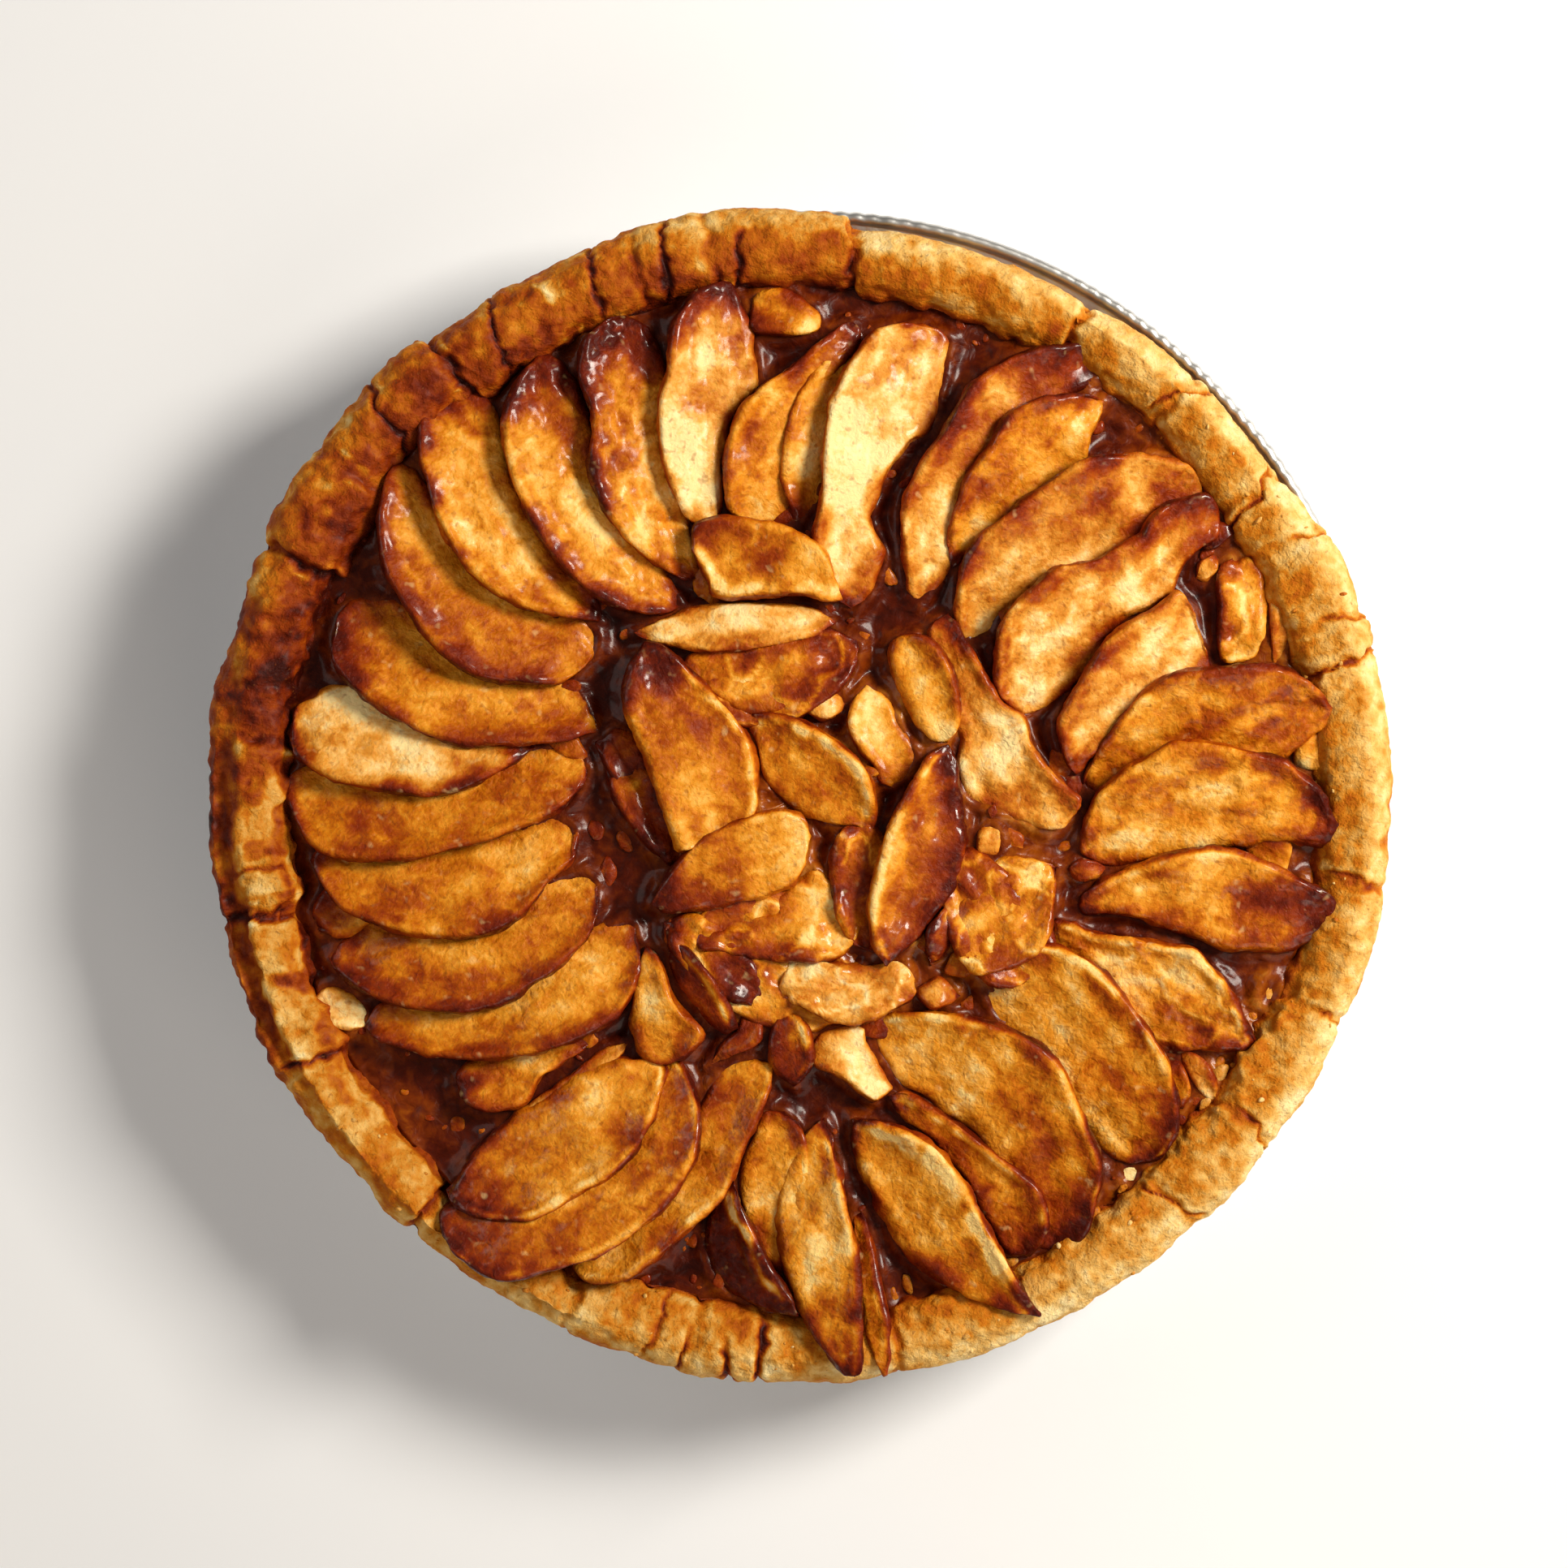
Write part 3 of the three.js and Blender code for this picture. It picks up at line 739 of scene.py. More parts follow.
CRACKS = (
    Crack(43.4, 0.1, 0.8, 0.9, 6.0),
    Crack(56.2, 0.1, 0.95, 1.0, -5.0),
    Crack(62.5, 0.05, 0.55, 0.9, 4.0),
    Crack(71.6, 0.1, 0.6, 0.8, 3.0),
    Crack(76.2, 0.05, 0.9, 1.0, -3.0),
    Crack(90.0, 0.02, 0.3, 0.5, 2.0, 1.1),
    Crack(94.5, 0.05, 0.35, 0.4, -2.0, 1.3),
    Crack(98.6, 0.3, 0.8, 0.7, 2.0),
    Crack(112.4, 0.1, 0.6, 0.8, 3.0),
    Crack(126.0, 0.15, 0.7, 0.9, 4.0),
    Crack(137.2, 0.2, 0.8, 0.9, -4.0),
    Crack(184.0, 0.0, 0.75, 1.4, 0.6, 0.4),
    Crack(187.4, 0.0, 0.6, 1.5, -0.8, 0.4),
    Crack(191.6, 0.1, 0.6, 1.2, 3.0, 0.35),
    Crack(195.5, 0.3, 0.9, 0.8, 3.0),
    Crack(242.0, 0.3, 0.95, 0.9, 2.0),
    Crack(257.8, 0.4, 0.95, 1.2, 2.0, 0.35),
    Crack(262.5, 0.5, 0.8, 0.8, 1.0),
    Crack(313.0, 0.1, 0.9, 1.0, 4.0),
    Crack(327.0, 0.1, 0.9, 1.0, 3.0),
    Crack(338.5, 0.1, 0.8, 0.9, 3.0),
    Crack(346.0, 0.2, 0.9, 1.0, 2.0),
    Crack(354.0, 0.5, 0.95, 0.9, 2.0),
)


@dataclass
class Pastry:
    """The pastry shell: a plain floor and wall, and a rim rolled in uneven folds."""

    tin: FoilTin
    floor: float = 0.9
    base_thickness: float = 4.0
    wall_thickness: float = 5.0
    filled_radius: float = 98.6
    filled_height: float = 28.4
    overhang_height: float = 28.8
    overhang_start: float = 4.8
    overhang_lift: float = 0.6
    gap: float = 0.3
    side_gap: float = 1.2
    inner_edge_height: float = 30.6
    swell: float = 0.45
    drift: float = 0.35
    waviness: float = 0.3
    waves: tuple[tuple[float, int, float], ...] = ((1.0, 23, 1.3), (0.8, 41, 0.0), (0.6, 67, 2.1))
    softened: int = 11
    bearings: int = 1500
    skin_steps: int = 7
    crease_depth: float = 1.6
    slight_crease: float = 0.45
    crease_width: float = 0.42
    pit_depth: float = 0.4
    sink: float = 0.35
    crumbled_from: tuple[float, float] = (100.0, 116.0)
    crumbled_to: tuple[float, float] = (170.0, 186.0)

    def _by_bearing(self, bearings: Array) -> dict[str, Array]:
        """Reads the folds.

        Args:
            bearings: Degrees, from 0 to 360.

        Returns:
            Outer and inner radius, top, groove and the two bakes at each bearing.
        """
        starts = np.array([fold.start for fold in FOLDS])
        index = np.searchsorted(starts, bearings, side="right") - 1
        following = (index + 1) % len(FOLDS)
        width = (starts[following] - starts[index]) % 360.0
        share = ((bearings - starts[index]) % 360.0) / width
        hump = np.sin(np.pi * share)
        found = {}
        for label in ("outer", "inner", "top", "groove", "bake", "roll_bake"):
            values = np.array([getattr(fold, label) for fold in FOLDS])
            found[label] = lerp(values[index], values[following], self.drift * share)
        found["outer"] = found["outer"] + 0.5 * self.swell * hump
        turn = np.radians(bearings)
        waves = sum(height * np.sin(count * turn + start) for height, count, start in self.waves)
        found["inner"] = found["inner"] - self.swell * hump + self.waviness * waves
        found["top"] = found["top"] + self.swell * hump
        return {label: self._soften(values) for label, values in found.items()}

    def _soften(self, values: Array) -> Array:
        """Rounds off the steps between folds in values over the bearings."""
        weights = np.hanning(self.softened)
        ring = values[:-1]
        middle = self.softened // 2
        soft = sum(w * np.roll(ring, k - middle) for k, w in enumerate(weights)) / weights.sum()
        return np.append(soft, soft[0])

    def _sections(self, bearings: Array, rim: dict[str, Array]) -> tuple[Array, Array]:
        """Draws the shell's section at each bearing.

        Args:
            bearings: Degrees, the last one being the first again.
            rim: The folds' values at each bearing.

        Returns:
            Points as rows and columns, and for each row its share of the rim's skin, from 0 outside to 1
            inside, below 0 in the tin and above 1 on the filled side.
        """
        outer, inner, top = rim["outer"], rim["inner"], rim["top"]
        flange = self.tin.flange_height + self.gap
        inner_floor = self.floor + self.base_thickness
        even = np.ones_like(bearings)

        def level(share: float) -> Array:
            """Gives the height at a share of the rim's height."""
            return lerp(self.overhang_height, top, share)

        hidden_out = [
            (0.0 * even, self.floor * even),
            ((self.tin.base_radius - self.tin.knee_inset - self.side_gap) * even, self.floor * even),
            ((self.tin.wall_top - self.side_gap) * even, flange * even),
            ((self.tin.rim_radius - self.overhang_start) * even, (flange + self.overhang_lift) * even),
        ]
        rolled = [
            (outer - 0.8, level(0.0)),
            (outer, level(0.25)),
            (outer - 0.9, level(0.62)),
            (outer - 3.4, level(0.92) - rim["groove"]),
            ((outer + inner) / 2 + 0.6, level(1.0)),
            (inner + 1.8, level(0.84)),
            (inner - 0.8, level(0.52)),
            (inner - 2.0, self.inner_edge_height * even),
        ]
        hidden_in = [
            (self.filled_radius * even - 0.2, self.filled_height * even),
            ((self.tin.base_radius - self.wall_thickness) * even, inner_floor * even),
            (0.0 * even, inner_floor * even),
        ]
        curve = rounded(np.array(rolled), self.skin_steps, closed=False)
        profile = np.concatenate([np.array(hidden_out), curve, np.array(hidden_in)])
        on_curve = np.linspace(0, 1, len(curve))
        shares = np.concatenate([[-1.0] * len(hidden_out), on_curve, [2.0] * len(hidden_in)])
        in_tin = (shares < 0).astype(float)[:, None, None]
        points = circled(profile[:, 0], np.radians(bearings), profile[:, 1])
        return points + in_tin * (*self.tin.centre, 0.0), shares

    def _creases(self, points: Array, wander: Array) -> tuple[Array, Array]:
        """Presses the creases between folds.

        Args:
            points: The skin's points.
            wander: Their bearings, made to wander a little.

        Returns:
            The creases' depth, and how near a point is to the edge beside one, from 0 to 1, where a painted
            highlight goes.
        """
        opened = np.zeros(wander.shape)
        crease_highlight = np.zeros(wander.shape)
        broken = np.clip(0.55 + uneven(points, (1.3, 5.0, 13)), 0.1, 1.0)
        for fold in FOLDS:
            away = (wander - fold.start + 180.0) % 360.0 - 180.0
            depth = self.crease_depth if fold.deep else self.slight_crease * self.crease_depth * broken
            opened = np.maximum(opened, depth * dent(away, self.crease_width))
            crease_highlight = np.maximum(crease_highlight, dent(np.abs(away) - 2.4 * self.crease_width, 0.8 * self.crease_width))
        return opened, crease_highlight

    def _splits(self, points: Array, wander: Array, side: Array, rim: dict[str, Array]) -> Array:
        """Gives the depth of the cracks, and of the pits in the groove.

        Args:
            points: The skin's points.
            wander: Their bearings, made to wander a little.
            side: The rows' shares of the rim's skin.
            rim: The folds' values at each bearing.

        Returns:
            The depth at each point.
        """
        split = np.zeros(wander.shape)
        for crack in CRACKS:
            split = np.maximum(split, crack.opened(wander, side))
        grooved = np.clip(rim["groove"] / 2.0, 0.0, 1.0)
        pits = grooved * step(side, 0.5, 0.6) * step(lumps(points, 3.2, 26), 0.3, 0.6)
        return np.maximum(split, self.pit_depth * pits)

    def _relief(self, points: Array, bearings: Array, side: Array, rim: dict[str, Array]) -> Array:
        """Works out the skin's low relief.

        Args:
            points: The skin's points.
            bearings: Degrees, one for each column.
            side: The rows' shares of the rim's skin.
            rim: The folds' values at each bearing.

        Returns:
            How far each point is raised.
        """
        rough = 1.0 + 0.8 * step(rim["bake"], 0.36, 0.6)
        relief = uneven(points, (0.6, 11.0, 1)) + rough * uneven(points, (0.42, 4.2, 2), (0.26, 1.8, 3))
        relief = relief + uneven(points, (0.16, 0.9, 4)) - self.sink
        low_right = step(bearings, *self.crumbled_from) * step(bearings, *reversed(self.crumbled_to))
        crumbled = low_right * step(side, 0.56, 0.74)
        chunks = 0.42 - 1.9 * np.abs(lumps(points, 4.6, 30)) + uneven(points, (0.5, 1.7, 31))
        ragged = (step(side, 0.16, 0.0) + step(side, 0.8, 0.95)) * uneven(points, (0.8, 2.6, 5))
        return relief + crumbled * chunks + ragged

    def build(self) -> bpy.types.Object:
        """Builds the shell."""
        bearings = np.linspace(0.0, 360.0, self.bearings + 1)
        rim = self._by_bearing(bearings)
        points, shares = self._sections(bearings, rim)
        normals = outward(points, grid_normals(points))
        side = shares[:, None]
        on_rim = ((side >= 0) & (side <= 1)).astype(float)
        wander = bearings + uneven(points, (0.5, 3.0, 11), (0.35, 1.4, 12))
        opened, crease_highlight = self._creases(points, wander)
        split = self._splits(points, wander, side, rim)
        opened = np.maximum(opened, split)
        relief = self._relief(points, bearings, side, rim)
        points = points + normals * (on_rim * (relief - opened))[..., None]
        return skin("pastry_shell", points, self._fields(points, side, rim, opened, split, crease_highlight))

    @staticmethod
    def _fields(
        points: Array, side: Array, rim: dict[str, Array], opened: Array, split: Array, crease_highlight: Array
    ) -> dict[str, Array]:
        """Works out how brown and how glazed the skin is, with painted shade in its creases and cracks and
        painted highlights beside the creases and on the roll.

        Args:
            points: The skin's points.
            side: The rows' shares of the rim's skin.
            rim: The folds' values at each bearing.
            opened: Depth of creases and cracks.
            split: Depth of cracks and pits alone.
            crease_highlight: How near a point is to the edge beside a crease, from 0 to 1, where a painted
                highlight goes.

        Returns:
            The fields `browning` and `glaze`.
        """
        turn = step(side + uneven(points, (0.1, 6.0, 24), (0.04, 2.4, 27)), 0.46, 0.58)
        browning = lerp(rim["bake"], rim["roll_bake"], turn)
        blotched = 0.06 + 0.17 * browning
        # Darker along the roll's outer foot, and painted shade in the creases, cracks and pits.
        browning = browning + 0.1 * step(side, 0.14, 0.02) + 0.2 * np.clip(opened, 0.0, 1.5) + 0.3 * split
        browning = browning + 0.12 * step(side, 0.5, 0.75) + 0.3 * step(side, 0.84, 1.0)
        browning = browning + blotched * uneven(points, (1.0, 6.0, 21), (1.0, 2.2, 22))
        # A paler line along the roll's outer shoulder: painted highlight.
        browning = browning - 0.1 * dent(side - 0.34, 0.12) * (1.0 + lumps(points, 5.0, 23))
        # Paler patches on the darker folds, and paler still beside the creases: painted highlights.
        highlight_patches = step(rim["bake"], 0.34, 0.5) * step(lumps(points, 3.0, 28), 0.2, 0.6)
        browning = browning - highlight_patches * (0.1 + 0.22 * crease_highlight) - 0.08 * crease_highlight
        browning = browning + 0.1 * rim["groove"] * step(lumps(points, 5.0, 29), 0.2, 0.5) * turn
        browning = browning + 0.025
        glaze = 0.02 + 0.06 * step(browning, 0.5, 0.9)
        return {"browning": np.clip(browning, 0.0, 1.0), "glaze": glaze}


# ---- Filling ----


@dataclass
class Filling:
    """The jelly that fills the shell and shows between the slices."""

    floor: float = 5.2
    floor_radius: float = 80.4
    radius: float = 100.6
    edge_height: float = 29.4
    edge_round: float = 1.6
    centre_height: float = 31.0
    rim_height: float = 29.0
    rim_radius: float = 98.6
    bearings: int = 560
    rings: int = 150
    stew_centre: tuple[float, float] = (9.0, -7.0)
    stew_radius: float = 50.0
    stew_fade: float = 22.0
    stew_lift: float = 1.2
    streak_width: float = 26.0
    skirt: float = 1.7
    skirt_width: float = 1.8
    skirt_reach: float = 2.5

    def height(self, radius: Array | float) -> Array | float:
        """Gives the jelly's level at a radius."""
        share = np.minimum(radius / self.rim_radius, 1.0)
        return lerp(self.centre_height, self.rim_height, share * share)

    def _skirts(self, points: Array, outlines: list[Array]) -> Array:
        """Finds how near the points are to the slices that stand in the jelly.

        Args:
            points: The jelly's points.
            outlines: The slices' outlines seen from above.

        Returns:
            A number from 0, far from every slice, to 1 at a slice's edge.
        """
        near = np.zeros(points.shape[:2])
        reach = self.skirt_reach * self.skirt_width
        for outline in outlines:
            low, high = outline.min(axis=0) - reach, outline.max(axis=0) + reach
            inside = np.all((points[..., :2] > low) & (points[..., :2] < high), axis=-1)
            away = np.linalg.norm(points[inside][:, None, :2] - outline[None], axis=-1).min(axis=1)
            near[inside] = np.maximum(near[inside], dent(away, self.skirt_width))
        return near

    def build(self, outlines: list[Array]) -> bpy.types.Object:
        """Builds the filling, drawn up a little round the slices.

        Args:
            outlines: The slices' outlines seen from above.

        Returns:
            The piece, with its field of paler jelly and painted sheen.
        """
        angles = np.linspace(0.0, 2 * np.pi, self.bearings + 1)
        top_radii = np.linspace(self.radius, 0.0, self.rings)
        hidden_radii = [0.0, self.floor_radius, self.radius - self.edge_round]
        hidden_heights = [self.floor, self.floor, self.edge_height - self.edge_round]
        radii = np.concatenate([hidden_radii, top_radii])[:, None]
        heights = np.concatenate([hidden_heights, self.height(top_radii)])[:, None]
        points = circled(radii, angles, heights)
        wide = (self.streak_width * np.cos(angles), self.streak_width * np.sin(angles))
        streaks = np.stack(np.broadcast_arrays(radii, *wide), -1)
        on_top = (np.arange(len(radii)) >= len(hidden_radii)).astype(float)[:, None]
        near_edge = step(radii, 88.0, 98.0)
        from_stew = np.linalg.norm(points[..., :2] - self.stew_centre, axis=-1)
        stewed = step(from_stew, self.stew_radius, self.stew_radius - self.stew_fade)
        folds = 1.0 - 2.0 * np.abs(lumps(points, 8.0, 36))
        relief = uneven(points, (0.4, 7.0, 31), (0.35, 3.0, 32)) + uneven(streaks, (0.3, 3.2, 33))
        relief = relief + uneven(points, (0.2, 1.6, 35))
        stew = self.stew_lift + 0.9 * folds + uneven(points, (0.7, 4.5, 37), (0.35, 2.0, 38))
        skirts = self._skirts(points, outlines)
        rise = relief * (0.7 + 0.6 * near_edge) + 0.7 * near_edge + stewed * stew + self.skirt * skirts
        points[..., 2] += on_top * rise
        # Paler near the crust on the right and on its raised parts: painted highlight. It is paler too near
        # the crust at the lower left, in the stewed middle and where the jelly is drawn up round the slices.
        right = step(points[..., 0], 30.0, 80.0)
        low_left = step(points[..., 0], -50.0, -80.0) * step(points[..., 1], -30.0, -50.0)
        cloud = (0.2 * right + 0.16 * low_left + 0.08) * near_edge + 0.16 * skirts - 0.06
        cloud = cloud + stewed * (0.02 + 0.12 * stew + uneven(points, (0.24, 9.0, 39))) + 0.1 * relief
        return skin("jelly", points, {"cloud": cloud})


# ---- Fruit slices ----


@dataclass(frozen=True)
class Slice:
    """One slice of fruit with its outline seen from above.

    The slice is tilted about its length, with its back edge up and its core edge down in the jelly, or the
    other way round where its lean is below 0.

    Attributes:
        node: Its CAD node, and a scrap's own name.
        outer: Its outer tip.
        inner: Its inner tip.
        low: Where it sinks into the jelly, as a distance from the line between its tips.
        back: Its back edge from the outer tip to the inner one.
        core: Its core edge, the same way.
        tone: Its tone.
        bakes: How far it is baked at its outer end, in its middle and at its inner end.
        lean: Its tilt in degrees.
        rise: How much higher its outer end lies.
        lift: How much higher all of it lies.
        thickness: Its thickness.
        across: How much further its back edge is baked than its middle.
        burnt: The burnt share of its length at its outer end.
        burnt_inside: The same at its inner end.
        band: How much darker its edges are, partly their real baked colour and partly painted shade.
        ridge: How pale the strip along its back edge is, partly the dried edge's own colour and partly
            painted highlight.
        ridge_width: That ridge's width.
        glaze: How glossy it is.
        wrinkled: How wrinkled it is. Past 0.2 it is folded as well.
        mottled: How strong its blotches are.
        tucked: Whether its core edge runs on under its neighbour.
    """

    node: str
    outer: tuple[float, float]
    inner: tuple[float, float]
    low: float
    back: Path
    core: Path
    tone: Tone
    bakes: tuple[float, float, float]
    lean: float = 16.0
    rise: float = 0.0
    lift: float = 0.0
    thickness: float = 5.0
    across: float = 0.0
    burnt: float = 0.12
    burnt_inside: float = 0.05
    band: float = 0.2
    ridge: float = 0.0
    ridge_width: float = 1.0
    glaze: float = 0.2
    wrinkled: float = 0.14
    mottled: float = 1.0
    tucked: bool = False

    def edges(self, shares: Array) -> tuple[Array, Array]:
        """Gives its back and core edges as points at shares of their length."""
        back, core = (edge_points(self.outer, edge, self.inner, shares) for edge in (self.back, self.core))
        return back, core

    def folded(self) -> float:
        """Gives how strongly it is folded."""
        return max(self.wrinkled - 0.2, 0.0)


PALE, GOLD, AMBER, DARK = Tone.PALE, Tone.GOLD, Tone.AMBER, Tone.DARK

